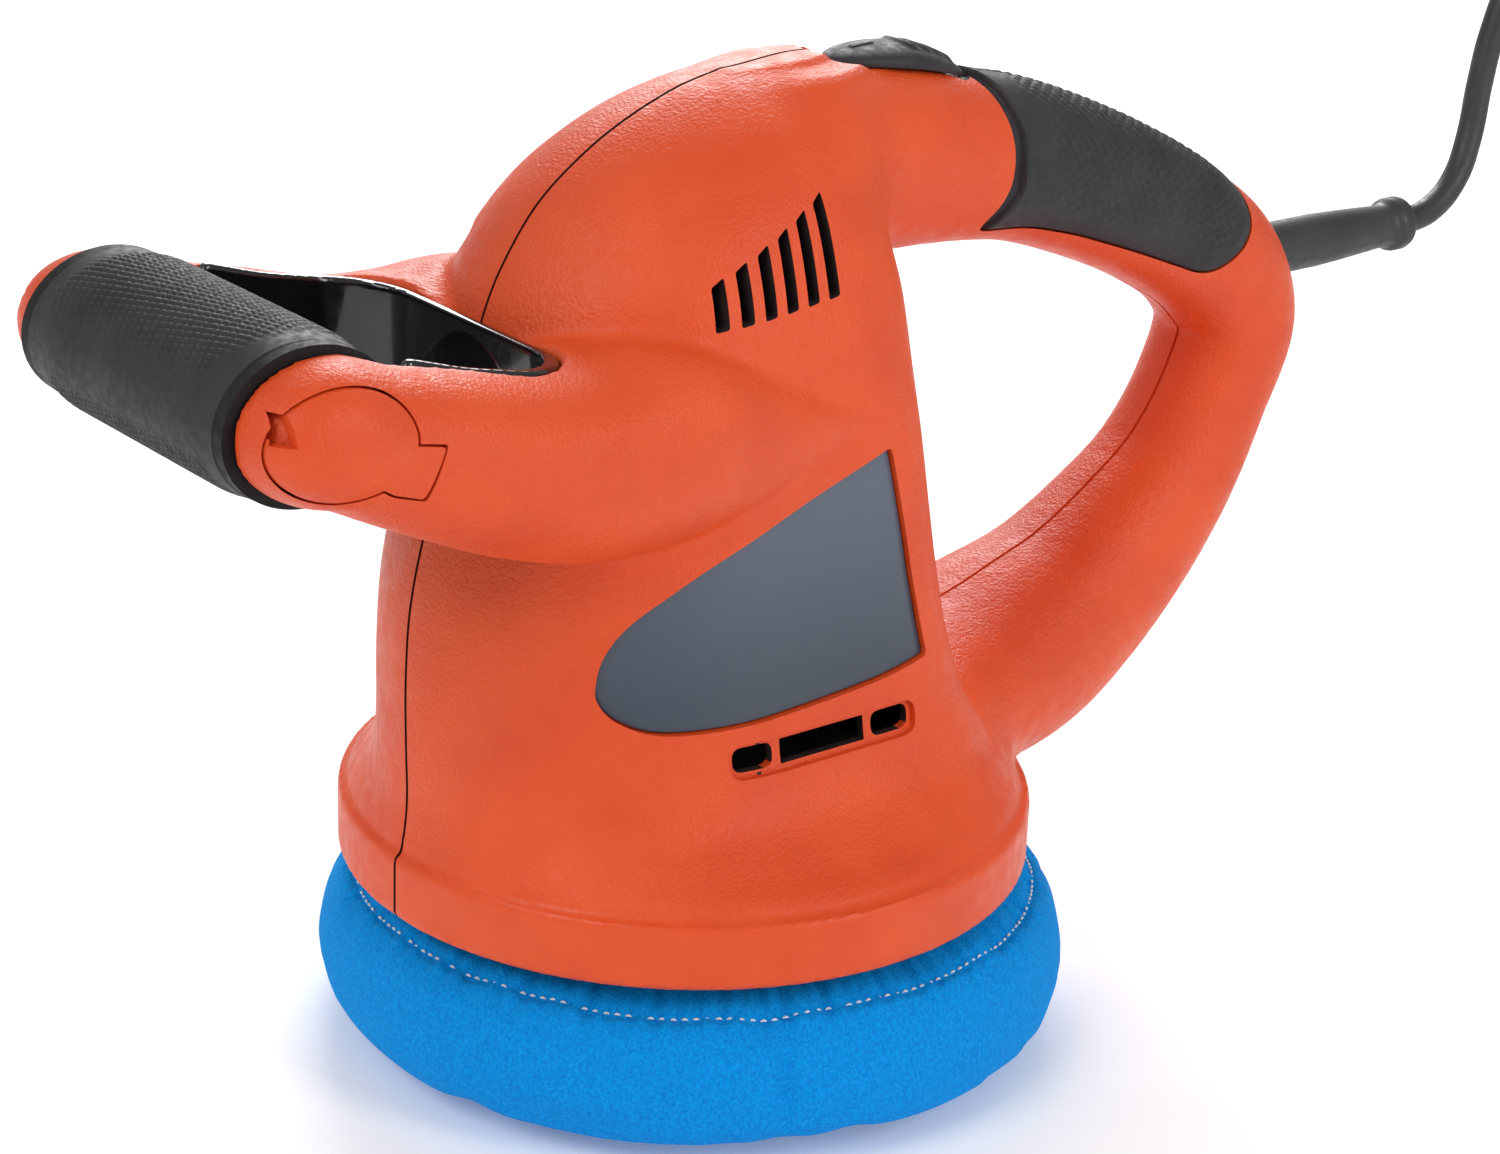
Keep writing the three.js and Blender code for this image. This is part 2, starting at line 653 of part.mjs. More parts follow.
const cordTail = () => cordAlong([tailPoint(0), tailPoint(TAIL_LENGTH / 2), tailPoint(TAIL_LENGTH)], 3);

// Places a piece drawn along +Y from the end of the tail.
function atPlug(solid) {
  const degrees = 180 + (TAIL_ANGLE * 180) / Math.PI;
  return solid.rotate([0, 0, degrees]).translate(tailPoint(TAIL_LENGTH + GAP));
}

function plugBody() {
  const outline = [[-4, 0], [-4.6, 16], [-9, 21], [-9, 44]];
  const rings = outline.map(([edge, y]) => {
    const half = -edge;
    const wide = y > 18 ? 12.5 : half + 0.6;
    const points = [];
    for (let i = 0; i < 20; i++) {
      const angle = (2 * Math.PI * i) / 20;
      const x = wide * Math.sign(Math.cos(angle)) * Math.abs(Math.cos(angle)) ** 0.6;
      const z = half * Math.sign(Math.sin(angle)) * Math.abs(Math.sin(angle)) ** 0.6;
      points.push(new THREE.Vector3(x, y, z));
    }
    return points;
  });
  return atPlug(loft(rings));
}

const plugBlade = (side) => atPlug(box([side * 6.35 - 0.75, 44.3, -3.2], [side * 6.35 + 0.75, 61, 3.2]));

// ---- Motor ----
const SHAFT_RADIUS = 4;
const FIELD_OUTER = 28;
const FIELD_LOW = 92;
const FIELD_HIGH = 124;
const BRUSH_Z = 139;

// A block covering all directions within an angle of +Y or -Y, seen from above.
function wedge(halfAngle, side, low, high) {
  const reach = 80;
  const shape = new THREE.Shape();
  shape.moveTo(0, 0);
  shape.lineTo(-side * reach * Math.sin(halfAngle), side * reach * Math.cos(halfAngle));
  shape.lineTo(side * reach * Math.sin(halfAngle), side * reach * Math.cos(halfAngle));
  shape.closePath();
  const geometry = new THREE.ExtrudeGeometry(shape, { depth: high - low, bevelEnabled: false });
  return toSolid(geometry.translate(0, 0, low));
}

const POLE_ANGLE = 0.95;
const COIL_ANGLE = 1.2;

function fieldCore() {
  const yoke = ring(24.5, FIELD_OUTER, FIELD_LOW, FIELD_HIGH, 32);
  const poles = [1, -1].map((side) =>
    ring(20, 25, FIELD_LOW, FIELD_HIGH, 32).intersect(wedge(POLE_ANGLE, side, FIELD_LOW - 1, FIELD_HIGH + 1)),
  );
  return joined([yoke, ...poles]);
}

function fieldCoil(side) {
  const band = ring(20.4, 24.1, FIELD_LOW - 3.5, FIELD_HIGH + 5, 32)
    .intersect(wedge(COIL_ANGLE, side, FIELD_LOW - 10, FIELD_HIGH + 10));
  const window = ring(15, 30, FIELD_LOW - GAP, FIELD_HIGH + GAP, 32)
    .intersect(wedge(POLE_ANGLE + 0.03, side, FIELD_LOW - GAP, FIELD_HIGH + GAP));
  return band.subtract(window);
}

const motorShaft = () =>
  turned([[0, 49], [SHAFT_RADIUS, 49], [SHAFT_RADIUS, 156], [SHAFT_RADIUS - 1, 157], [0, 157]], 20);

const armatureCore = () => ring(SHAFT_RADIUS + GAP, 19.4, 93, 123, 28);

const armatureWinding = (low, high, flare) =>
  turned([
    [SHAFT_RADIUS + GAP + 1, low], [flare < 0 ? 13 : 18, low], [flare < 0 ? 18 : 13, high],
    [SHAFT_RADIUS + GAP + 1, high], [SHAFT_RADIUS + GAP + 1, low],
  ], 24);

const commutator = () => ring(SHAFT_RADIUS + GAP, 11, BRUSH_Z - 6, BRUSH_Z + 6, 24);

function coolingFan() {
  const blades = [];
  const count = 9;
  for (let i = 0; i < count; i++) {
    blades.push(box([10, -0.8, 75.5], [33, 0.8, 83]).rotate([0, 0, (360 * i) / count]));
  }
  const disc = rod(34, 74, 76, 36);
  return joined([disc, rod(10.5, 74, 84, 24), ...blades]).subtract(rod(SHAFT_RADIUS + GAP, 70, 90, 20));
}

function brushHolder(side) {
  const sleeve = box([11.8, -6, BRUSH_Z - 5.2], [31, 6, BRUSH_Z + 5.2]);
  const channel = box([10, -4.3, BRUSH_Z - 3.5], [40, 4.3, BRUSH_Z + 3.5]);
  const holder = sleeve.subtract(channel);
  return side > 0 ? holder : mirrored(holder);
}

function carbonBrush(side) {
  const brush = box([11.4, -4, BRUSH_Z - 3.2], [24, 4, BRUSH_Z + 3.2]);
  return side > 0 ? brush : mirrored(brush);
}

const lowerBearing = () => ring(SHAFT_RADIUS + GAP, 11, 63, 71, 24);
const upperBearing = () => ring(SHAFT_RADIUS + GAP, 9.5, 148, 154, 24);

const bearingPlate = () =>
  turned([[11.3, 61.8], [46, 61.8], [46, 65], [16, 65], [14.5, 72], [11.3, 72], [11.3, 61.8]], 32);

const bearingBracket = () =>
  rod(14, 147, 155, 24).add(box([-7, -30, 147], [7, 24, 153])).subtract(rod(9.8, 140, 160, 24));

const airBaffle = () => ring(21.5, 35.5, 85.2, 87.2, 32);

// ---- Eccentric drive and pad ----
function eccentric() {
  const block = rod(22, 37, 60, 32);
  const weight = ring(20, 39, 50, 59, 36).intersect(box([-60, -60, 40], [60, -4, 70]));
  const bearingSeat = rod(13.3, 30, 47, 24, 0, ORBIT);
  return cutBy(block.add(weight), [bearingSeat, rod(SHAFT_RADIUS + GAP, 48.5, 70, 20)]);
}

const padBearing = () => ring(7.3, 13, 37.6, 46.6, 24, 0, ORBIT);

const padSpindle = () =>
  turned([
    [3.3, 30], [12, 30], [12, 33], [7, 34], [7, 46.6], [0, 46.6], [0, 45], [3.3, 45], [3.3, 30],
  ], 24, 0, ORBIT);

const padBolt = () =>
  turned([[0, 17.5], [6, 17.5], [6.4, 22], [3, 22], [3, 44], [0, 44]], 20, 0, ORBIT);

const backingPlate = () =>
  turned([
    [3.3, 22.3], [70, 22.3], [69, 25.5], [18, 25.5], [15, 29.7], [3.3, 29.7], [3.3, 22.3],
  ], 32, 0, ORBIT);

const foamPad = () =>
  turned([
    [8, 4.4], [70, 4.4], [76.5, 11], [76.3, 22], [73, 29.5], [8, 30.5], [8, 4.4],
  ], 32, 0, ORBIT);

const bonnet = () =>
  turned([
    [0, 0], [75, 0], [80.8, 2.4], [82.8, 8], [82.6, 15], [80.6, 24], [75.6, 32.6], [68, 36.8], [62, 37.5],
    [62, 35.5], [69, 34.3], [74.6, 30.6], [77.6, 22.5], [78, 10.5], [71.3, 4], [0, 4],
  ], 36, 0, ORBIT);

const bonnetElastic = () => {
  const hoop = new THREE.TorusGeometry(59.9, 1.5, 6, 32);
  return toSolid(hoop.translate(0, ORBIT, 29));
};

// ---- Switch and cord parts inside the handle ----
const switchModule = () => box([-7, 39, 170], [7, 60, 188]);
const cordClamp = () =>
  box([-7, RELIEF_START + 0.5, RELIEF_Z + CORD_RADIUS + GAP], [7, RELIEF_START + 7, RELIEF_Z + 7]);

// ---- Assembly ----
function addHousing() {
  add("housing_left", housingHalf(true), ORANGE);
  add("housing_right", housingHalf(false), ORANGE);
  add("opening_liner", openingLiner(), BLACK_GLOSS);
  SCREW_PLACES.forEach((place, i) => add(`clamshell_screw_${i + 1}`, clamshellScrew(place), STEEL));
}

function addSides() {
  const right = { grip: rearGrip(), badge: badgePanel(), cap: armCap(), screw: armScrew() };
  for (const [side, turn] of [["right", (solid) => solid], ["left", mirrored]]) {
    add(`rear_grip_${side}`, turn(right.grip), RUBBER);
    add(`badge_panel_${side}`, turn(right.badge), SLATE);
    add(`arm_cap_${side}`, turn(right.cap), ORANGE);
    add(`arm_screw_${side}`, turn(right.screw), STEEL);
  }
}

function addFrontGrip() {
  add("front_grip", frontGrip(), RUBBER);
  add("front_grip_core", gripCore(), BLACK);
}

function addSwitch() {
  add("switch_cap", switchCap(), RUBBER);
  add("switch_module", switchModule(), BLACK);
}

function addCord() {
  add("strain_relief", strainRelief(), BLACK);
  add("cord_clamp", cordClamp(), BLACK);
  addOnFloor("cord_tube", cordAlong(CORD_ROUTE, CORD_STEPS).subtract(cordCoil(GAP)), BLACK);
  addOnFloor("cord_coil", cordCoil(0), BLACK);
  addOnFloor("cord_tail", cordTail().subtract(cordCoil(GAP)), BLACK);
  addOnFloor("plug_body", plugBody(), BLACK);
  addOnFloor("plug_blade_left", plugBlade(-1), BRASS);
  addOnFloor("plug_blade_right", plugBlade(1), BRASS);
}

function addMotor() {
  add("field_core", fieldCore(), IRON);
  add("field_coil_front", fieldCoil(-1), COPPER);
  add("field_coil_back", fieldCoil(1), COPPER);
  add("bearing_plate", bearingPlate(), BLACK);
  add("bearing_bracket", bearingBracket(), BLACK);
  add("lower_bearing", lowerBearing(), STEEL);
  add("upper_bearing", upperBearing(), STEEL);
  add("air_baffle", airBaffle(), BLACK);
  for (const [name, side] of [["left", -1], ["right", 1]]) {
    add(`brush_holder_${name}`, brushHolder(side), BRASS);
    add(`carbon_brush_${name}`, carbonBrush(side), CARBON);
  }
}

function addArmature() {
  add("motor_shaft", motorShaft(), STEEL);
  add("armature_core", armatureCore(), IRON);
  add("armature_winding_lower", armatureWinding(88, 92.7, -1), COPPER);
  add("armature_winding_upper", armatureWinding(123.3, 130, 1), COPPER);
  add("commutator", commutator(), COPPER);
  add("cooling_fan", coolingFan(), BLACK);
  add("eccentric_weight", eccentric(), IRON);
}

function addPad() {
  add("pad_bearing", padBearing(), STEEL);
  add("pad_spindle", padSpindle(), STEEL);
  add("pad_bolt", padBolt(), STEEL);
  add("backing_plate", backingPlate(), BLACK);
  addOnFloor("foam_pad", foamPad(), FOAM);
  addOnFloor("bonnet", bonnet(), BLUE_CLOTH);
  add("bonnet_elastic", bonnetElastic(), WHITE_PLASTIC);
}

addHousing();
addSides();
addFrontGrip();
addSwitch();
addCord();
addMotor();
addArmature();
addPad();

export default group;
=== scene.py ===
import math

import bmesh
import bpy
import numpy as np
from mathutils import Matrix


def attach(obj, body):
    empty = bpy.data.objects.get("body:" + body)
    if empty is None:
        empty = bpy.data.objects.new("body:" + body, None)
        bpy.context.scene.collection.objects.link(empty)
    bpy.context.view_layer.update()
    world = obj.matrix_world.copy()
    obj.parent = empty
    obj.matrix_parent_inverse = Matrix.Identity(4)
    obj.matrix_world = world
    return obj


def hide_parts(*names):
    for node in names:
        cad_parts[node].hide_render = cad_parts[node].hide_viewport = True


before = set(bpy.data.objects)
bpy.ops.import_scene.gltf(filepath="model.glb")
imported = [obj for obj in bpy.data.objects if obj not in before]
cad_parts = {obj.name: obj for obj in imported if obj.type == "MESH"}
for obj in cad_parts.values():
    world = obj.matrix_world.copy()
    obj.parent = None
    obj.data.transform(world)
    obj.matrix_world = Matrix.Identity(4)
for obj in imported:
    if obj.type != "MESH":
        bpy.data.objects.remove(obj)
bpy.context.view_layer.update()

import openvdb
from mathutils import Matrix, Vector

MM = 0.001
DATUM = 8.5  # height of the machine's datum above the floor
VOXEL = 1.0  # spacing of the grid that the housing is worked out on

# ---- Dimensions shared with the solids ----
ARM_INNER = 37.5  # half the width between the arms
ARM_OUTER = 52.0
GRIP_Y = -117.5  # the front grip's axis
GRIP_Z = 158.0
SKIRT_RADIUS = 75.0
SKIRT_BOTTOM = 32.0
SKIRT_TOP = 46.2
ORBIT = 3.5  # how far the pad's axis stands behind the motor's
RELIEF_Z = 138.7
CORD_RADIUS = 3.25
SPLIT = 0.12  # gap from each half of the housing to the middle plane


# ---- Camera, floor and light, in metres ----
CAMERA_ANGLES = (50.8, 21.32, 2.29)  # azimuth, elevation and roll, in degrees
CAMERA_AIM = (0, 0, 0.0885)
CAMERA_ASIDE = (0.01246, 0.01149)  # how far to the right of the aim, and above it, the view centres
CAMERA_DISTANCE = 0.77075
CAMERA_LENS = 86.4
LIGHTS = [  # name, place, what it points at, size, power in watts
    ("key", (0.2, -1.3, 1.25), (0, 0, 0.12), (0.9, 0.7), 10),
    ("side", (1.5, 0.5, 0.9), (0, 0.02, 0.1), (0.5, 1.0), 10),
    ("rim", (-1.2, 0.9, 0.9), (0, 0, 0.12), (0.8, 0.8), 18),
]
WORLD_LIGHT = 0.5
FLOOR_REACH = 6.0
FLOOR_WHITE = 0.94
FLOOR_GLOW = 0.12


def aim_camera():
    azimuth, elevation, roll = (math.radians(angle) for angle in CAMERA_ANGLES)
    back = Vector((
        math.sin(azimuth) * math.cos(elevation),
        -math.cos(azimuth) * math.cos(elevation),
        math.sin(elevation),
    ))
    right = Vector((math.cos(azimuth), math.sin(azimuth), 0))
    up = back.cross(right)
    target = Vector(CAMERA_AIM) + right * CAMERA_ASIDE[0] + up * CAMERA_ASIDE[1]
    data = bpy.data.cameras.new("camera")
    data.lens = CAMERA_LENS
    data.sensor_width = 36
    data.clip_start = 0.05
    camera = bpy.data.objects.new("camera", data)
    bpy.context.collection.objects.link(camera)
    turned_right = right * math.cos(roll) + up * math.sin(roll)
    turned_up = up * math.cos(roll) - right * math.sin(roll)
    pose = Matrix((turned_right, turned_up, back)).transposed().to_4x4()
    pose.translation = target + back * CAMERA_DISTANCE
    camera.matrix_world = pose
    bpy.context.scene.camera = camera


def area_light(name, place, aim, size, power):
    data = bpy.data.lights.new(name, "AREA")
    data.shape = "RECTANGLE"
    data.size, data.size_y = size
    data.energy = power
    light = bpy.data.objects.new(name, data)
    bpy.context.collection.objects.link(light)
    light.location = place
    light.rotation_mode = "QUATERNION"
    light.rotation_quaternion = (Vector(aim) - Vector(place)).to_track_quat("-Z", "Y")


def build_studio():
    bpy.context.scene.view_settings.view_transform = "Standard"
    mesh = bpy.data.meshes.new("floor")
    far = FLOOR_REACH
    corners = [(-far, -far, 0), (far, -far, 0), (far, far, 0), (-far, far, 0)]
    mesh.from_pydata(corners, [], [(0, 1, 2, 3)])
    floor = bpy.data.objects.new("floor", mesh)
    bpy.context.collection.objects.link(floor)
    material = bpy.data.materials.new("floor_white")
    material.use_nodes = True
    shader = material.node_tree.nodes["Principled BSDF"]
    shader.inputs["Base Color"].default_value = (FLOOR_WHITE, FLOOR_WHITE, FLOOR_WHITE, 1)
    shader.inputs["Roughness"].default_value = 0.6
    shader.inputs["Emission Color"].default_value = (1, 1, 1, 1)
    shader.inputs["Emission Strength"].default_value = FLOOR_GLOW
    mesh.materials.append(material)
    world = bpy.data.worlds.new("studio")
    bpy.context.scene.world = world
    world.use_nodes = True
    background = world.node_tree.nodes["Background"]
    background.inputs["Color"].default_value = (1, 1, 1, 1)
    background.inputs["Strength"].default_value = WORLD_LIGHT
    for light in LIGHTS:
        area_light(*light)


# ---- Mesh helpers ----
def new_object(name, mesh):
    thing = bpy.data.objects.new(name, mesh)
    bpy.context.collection.objects.link(thing)
    return thing


def mesh_from(name, points, faces):
    """A mesh from points in millimetres."""
    mesh = bpy.data.meshes.new(name)
    mesh.from_pydata((np.asarray(points, float) * MM).tolist(), [], faces)
    mesh.validate()
    return mesh


def bake_modifiers(thing):
    """The object with its modifiers applied."""
    graph = bpy.context.evaluated_depsgraph_get()
    graph.update()
    mesh = bpy.data.meshes.new_from_object(thing.evaluated_get(graph))
    thing.modifiers.clear()
    thing.data = mesh
    return thing


def combine(thing, tool, operation):
    """The thing changed by the tool, which is used up."""
    step = thing.modifiers.new("combine", "BOOLEAN")
    step.operation = operation
    step.solver = "MANIFOLD"
    step.object = tool
    bake_modifiers(thing)
    bpy.data.objects.remove(tool, do_unlink=True)
    return thing


def cut(thing, *tools):
    for tool in tools:
        combine(thing, tool, "DIFFERENCE")
    return thing


def keep_inside(thing, tool):
    return combine(thing, tool, "INTERSECT")


def join(thing, tool):
    return combine(thing, tool, "UNION")


def copy_of(thing, name):
    return new_object(name, thing.data.copy())


def mirror(thing):
    """Turns the object over to the other flank."""
    thing.data.transform(Matrix.Scale(-1, 4, (1, 0, 0)))
    thing.data.flip_normals()
    return thing


def smooth(thing, degrees=35):
    thing.data.shade_smooth()
    thing.data.set_sharp_from_angle(angle=math.radians(degrees))
    return thing


def outward(thing):
    """Makes a closed mesh's faces point out."""
    work = bmesh.new()
    work.from_mesh(thing.data)
    bmesh.ops.recalc_face_normals(work, faces=work.faces)
    if work.calc_volume(signed=True) < 0:
        bmesh.ops.reverse_faces(work, faces=work.faces)
    work.to_mesh(thing.data)
    work.free()
    return thing


def tube_faces(rings, sides, first=0):
    """The faces between rings of points, which are numbered ring by ring from the first."""
    faces = []
    for start in range(first, first + (rings - 1) * sides, sides):
        for j in range(sides):
            a, b = start + j, start + (j + 1) % sides
            faces.append((a, b, b + sides, a + sides))
    return faces


def end_faces(rings, sides, first=0):
    """The caps on the first and the last ring."""
    last = first + (rings - 1) * sides
    return [tuple(range(first, first + sides))[::-1], tuple(range(last, last + sides))]


def loft(name, rings):
    """A skin through rings of points, capped at both ends."""
    count = len(rings[0])
    points = [p for ring in rings for p in ring]
    faces = tube_faces(len(rings), count) + end_faces(len(rings), count)
    return outward(new_object(name, mesh_from(name, points, faces)))


def ring_tube(name, rings):
    """A tube through rings of points that runs back into its own start."""
    count = len(rings[0])
    points = [p for ring in rings for p in ring]
    faces = [tuple(k % len(points) for k in face) for face in tube_faces(len(rings) + 1, count)]
    return outward(new_object(name, mesh_from(name, points, faces)))


def prism(name, outline, low, high):
    """A prism along X over a side-view outline of (y, z) points above the datum."""
    rings = [[(x, y, z + DATUM) for y, z in outline] for x in (low, high)]
    return loft(name, rings)


def block(name, low, high):
    (ax, ay, az), (bx, by, bz) = low, high
    return prism(name, rectangle(ay, by, az, bz), ax, bx)


def rectangle(left, right, low, high):
    return [(left, low), (right, low), (right, high), (left, high)]


def oval_outline(middle, halves, count=72):
    (y, z), (wide, high) = middle, halves
    angles = [2 * math.pi * k / count for k in range(count)]
    return [(y + wide * math.cos(a), z + high * math.sin(a)) for a in angles]


def rod_x(name, radius, low, high, y, z):
    return prism(name, oval_outline((y, z), (radius, radius), 48), low, high)


def turned(name, profile, segments=96, centre=(0, 0)):
    """A body turned about Z from (radius, height) points that start and end on the axis."""
    rings = [
        [(x, y, height) for x, y in oval_outline(centre, (radius, radius), segments)]
        for radius, height in profile[1:-1]
    ]
    return loft(name, rings)


def rounded(outline, radius, steps=5):
    """The outline with each corner drawn as a curve that starts a radius from the corner."""
    points = [np.array(p, float) for p in outline]
    made = []
    for i, corner in enumerate(points):
        before, after = points[i - 1], points[(i + 1) % len(points)]
        reach_in = min(radius, np.linalg.norm(before - corner) * 0.45)
        reach_out = min(radius, np.linalg.norm(after - corner) * 0.45)
        start = corner + (before - corner) / np.linalg.norm(before - corner) * reach_in
        end = corner + (after - corner) / np.linalg.norm(after - corner) * reach_out
        for step in range(steps + 1):
            t = step / steps
            made.append(tuple((1 - t) ** 2 * start + 2 * t * (1 - t) * corner + t * t * end))
    return made


def moved_in(outline, distance):
    """A closed outline moved in by a distance along its own normals."""
    points = np.array(outline, float)
    along = np.roll(points, -1, 0) - np.roll(points, 1, 0)
    normal = np.stack([-along[:, 1], along[:, 0]], 1)
    normal /= np.maximum(np.linalg.norm(normal, axis=1), 1e-9)[:, None]
    rolled = np.roll(points, -1, 0)
    area = np.sum(points[:, 0] * rolled[:, 1] - rolled[:, 0] * points[:, 1])
    return [tuple(p) for p in points + normal * distance * np.sign(area)]


# ---- Distance fields of the housing, on a grid over its right half ----
BODY_SLICES = [  # height, front, back, half width, squareness at the front and the back
    (44, -73.6, 73.6, 73.6, 2, 2),
    (48, -73.2, 71.5, 71, 2, 2.1),
    (53, -72.4, 65, 63, 2, 2.6),
    (60, -72, 57, 54.5, 1.95, 3.6),
    (70, -72.3, 46.5, 50, 1.9, 6),
    (85, -72.4, 40, 48, 1.9, 7),
    (100, -71.4, 36.5, 47, 1.9, 7),
    (115, -68.2, 33.5, 46.5, 1.9, 7),
    (130, -63.5, 31, 45.5, 2, 7),
    (145, -58.5, 29.5, 44, 2, 6),
    (160, -54, 29, 41.5, 2, 5),
    (170, -49, 29, 38.5, 2, 4),
    (180, -41.5, 29.5, 34, 1.9, 3),
    (188, -31.5, 30, 28, 1.9, 2.6),
    (194, -21, 30, 22, 1.9, 2.4),
    (199, -8.5, 30, 14, 2, 2),
    (201.8, 3, 29, 6, 2, 2),
]
HANDLE_STATIONS = [  # y, z, half thickness, half width
    (22, 180, 20, 24),
    (45, 178.5, 20, 20.5),
    (66, 175.5, 18.4, 18),
    (85, 171.5, 17.4, 17.2),
    (108, 163, 16.8, 17),
    (130, 152.5, 16.2, 17),
    (148, 140.5, 16, 17),
    (156.5, 125, 15, 16.5),
    (150.5, 107, 14.4, 16),
    (140.5, 90, 15.8, 17),
    (127, 76.5, 18, 19),
    (110.5, 64.5, 19.8, 21.5),
    (94, 57, 21, 25),
    (76, 53, 19.5, 29),
    (56, 52, 17, 33),
]
HANDLE_SQUARE = 2.3
HANDLE_BLEND = 9.0  # how softly the handle runs into the body
ARM_STATIONS = [  # y, z, half height, outermost x
    (4, 139, 3, 45),
    (-6, 138.5, 10, 47.5),
    (-20, 138.5, 17, 50),
    (-36, 139.5, 20.5, 52.5),
    (-54, 139, 20.3, 53.5),
    (-72, 142, 18.5, 53.5),
    (-90, 148, 17, 53),
    (-104, 152.9, 15.4, 52.5),
    (-114, 156.4, 13.8, 52),
]
ARM_KNOB = (16.6, 13.6)  # half length and half height of the round end, about the grip's axis
KNOB_SQUARE = 3.4
ARM_ROOT_X = 30.0
ARM_BLEND = 2.2  # how softly the arm's root runs into the flank
ARM_SQUARE = 2.5
ARM_EDGE = 1.2  # rounding of the arms' edges along the finger opening
OPENING_BACK = -55.5
OPENING_CORNER = 14.0
SKIRT_EDGE = 1.0
SKIRT_BLEND = 0.8
HOUSING_ROOM = ((-4, -140, 26), (80, 182, 206))  # the grid's corners: the right half, and a little more
OUTSIDE = 20.0  # the distance that stands for everything beyond a grid


def spline(rows, count):
    """Points along a smooth curve through the rows."""
    rows = np.array(rows, float)
    padded = np.vstack([2 * rows[0] - rows[1], rows, 2 * rows[-1] - rows[-2]])
    at = np.linspace(0, len(rows) - 1, count)
    i = np.minimum(at.astype(int), len(rows) - 2)
    t = (at - i)[:, None]
    a, b, c, d = padded[i], padded[i + 1], padded[i + 2], padded[i + 3]
    return 0.5 * (
        2 * b + (c - a) * t + (2 * a - 5 * b + 4 * c - d) * t**2 + (3 * b - a - 3 * c + d) * t**3
    )


def ramp(value, start, end):
    """Runs softly from 0 at the start to 1 at the end."""
    t = np.clip((value - start) / (end - start), 0, 1)
    return t * t * (3 - 2 * t)


def oval(u, v, power):
    """1 on a superellipse, less inside it."""
    return (np.abs(u) ** power + np.abs(v) ** power) ** (1 / power)


def smooth_join(a, b, radius):
    """Both shapes in one field, with a fillet of about a radius between them."""
    overlap = np.maximum(radius - np.abs(a - b), 0) / radius
    return np.minimum(a, b) - overlap**2 * radius / 4


def smooth_cut(a, b, radius):
    """What is left of shape a outside shape b, with rounded edges."""
    return -smooth_join(-a, b, radius)


class Grid:
    """The evenly spaced points of a box of space."""

    def __init__(self, low, high, voxel):
        self.low = np.array(low, float)
        self.voxel = voxel
        counts = np.ceil((np.array(high) - self.low) / voxel).astype(int) + 1
        axes = [self.low[k] + voxel * np.arange(counts[k], dtype=np.float32) for k in range(3)]
        self.x = axes[0][:, None, None].astype(np.float32)
        self.y = axes[1][None, :, None].astype(np.float32)
        self.z = axes[2][None, None, :].astype(np.float32)

    def distance(self, value):
        """Turns a function that is 1 on the surface into a distance near it."""
        slopes = np.gradient(value.astype(np.float32), self.voxel)
        steep = np.sqrt(slopes[0] ** 2 + slopes[1] ** 2 + slopes[2] ** 2)
        return (value - 1) / np.maximum(steep, 0.008)

    def nearest(self, path):
        """For each (y, z), the distance to a path of (y, z, ...) rows and that row's other values."""
        y, z = self.y[0], self.z[0]
        best = np.full((y.shape[0], z.shape[1]), 1e9, np.float32)
        row = np.zeros(best.shape, int)
        for i, (py, pz) in enumerate(path[:, :2]):
            away = (y - py) ** 2 + (z - pz) ** 2
            closer = away < best
            best = np.where(closer, away, best)
            row[closer] = i
        return np.sqrt(best)[None], [path[row, k][None] for k in range(2, path.shape[1])]


def body_field(grid):
    table = spline(BODY_SLICES, 400)
    heights = table[:, 0]
    front, back, half, square_front, square_back = (
        np.interp(grid.z, heights, table[:, k]).astype(np.float32) for k in range(1, 6)
    )
    middle, depth = (front + back) / 2, (back - front) / 2
    along = (grid.y - middle) / depth
    power = np.where(along < 0, square_front, square_back)
    sides = grid.distance(oval(grid.x / half, along, power))
    ends = np.maximum(heights[0] - 3 - grid.z, grid.z - heights[-1])
    return np.maximum(sides, ends)


def handle_field(grid):
    away, (thick, wide) = grid.nearest(spline(HANDLE_STATIONS, 260))
    return grid.distance(oval(away / thick, grid.x / wide, HANDLE_SQUARE))


def opening_field(grid, half_width, back):
    """The finger opening seen from above: straight sides and a back with round corners."""
    corner = OPENING_CORNER
    u = np.abs(grid.x) - (half_width - corner)
    v = grid.y - (back - corner)
    outside = np.sqrt(np.maximum(u, 0) ** 2 + np.maximum(v, 0) ** 2) - corner
    return outside + np.minimum(np.maximum(u, v), 0)


def arm_field(grid):
    away, (high, outer) = grid.nearest(spline(ARM_STATIONS, 200))
    reach = np.where(grid.x > ARM_ROOT_X, outer - ARM_ROOT_X, ARM_ROOT_X - 4)
    across = (grid.x - ARM_ROOT_X) / reach
    arm = grid.distance(oval(away / high, across, ARM_SQUARE))
    round_end = oval((grid.y - GRIP_Y) / ARM_KNOB[0], (grid.z - GRIP_Z) / ARM_KNOB[1], 2)
    out = (grid.x - ARM_ROOT_X) / (ARM_OUTER - ARM_ROOT_X)
    knob = grid.distance(oval(round_end, out, KNOB_SQUARE))
    arm = smooth_join(arm, knob, 4)
    return smooth_cut(arm, opening_field(grid, ARM_INNER, OPENING_BACK), ARM_EDGE)


def skirt_field(grid):
    radial = np.sqrt(grid.x**2 + grid.y**2) - (SKIRT_RADIUS - SKIRT_EDGE)
    middle, half = (SKIRT_TOP + SKIRT_BOTTOM) / 2, (SKIRT_TOP - SKIRT_BOTTOM) / 2
    upright = np.abs(grid.z - middle) - (half - SKIRT_EDGE)
    outside = np.sqrt(np.maximum(radial, 0) ** 2 + np.maximum(upright, 0) ** 2)
    return outside + np.minimum(np.maximum(radial, upright), 0) - SKIRT_EDGE


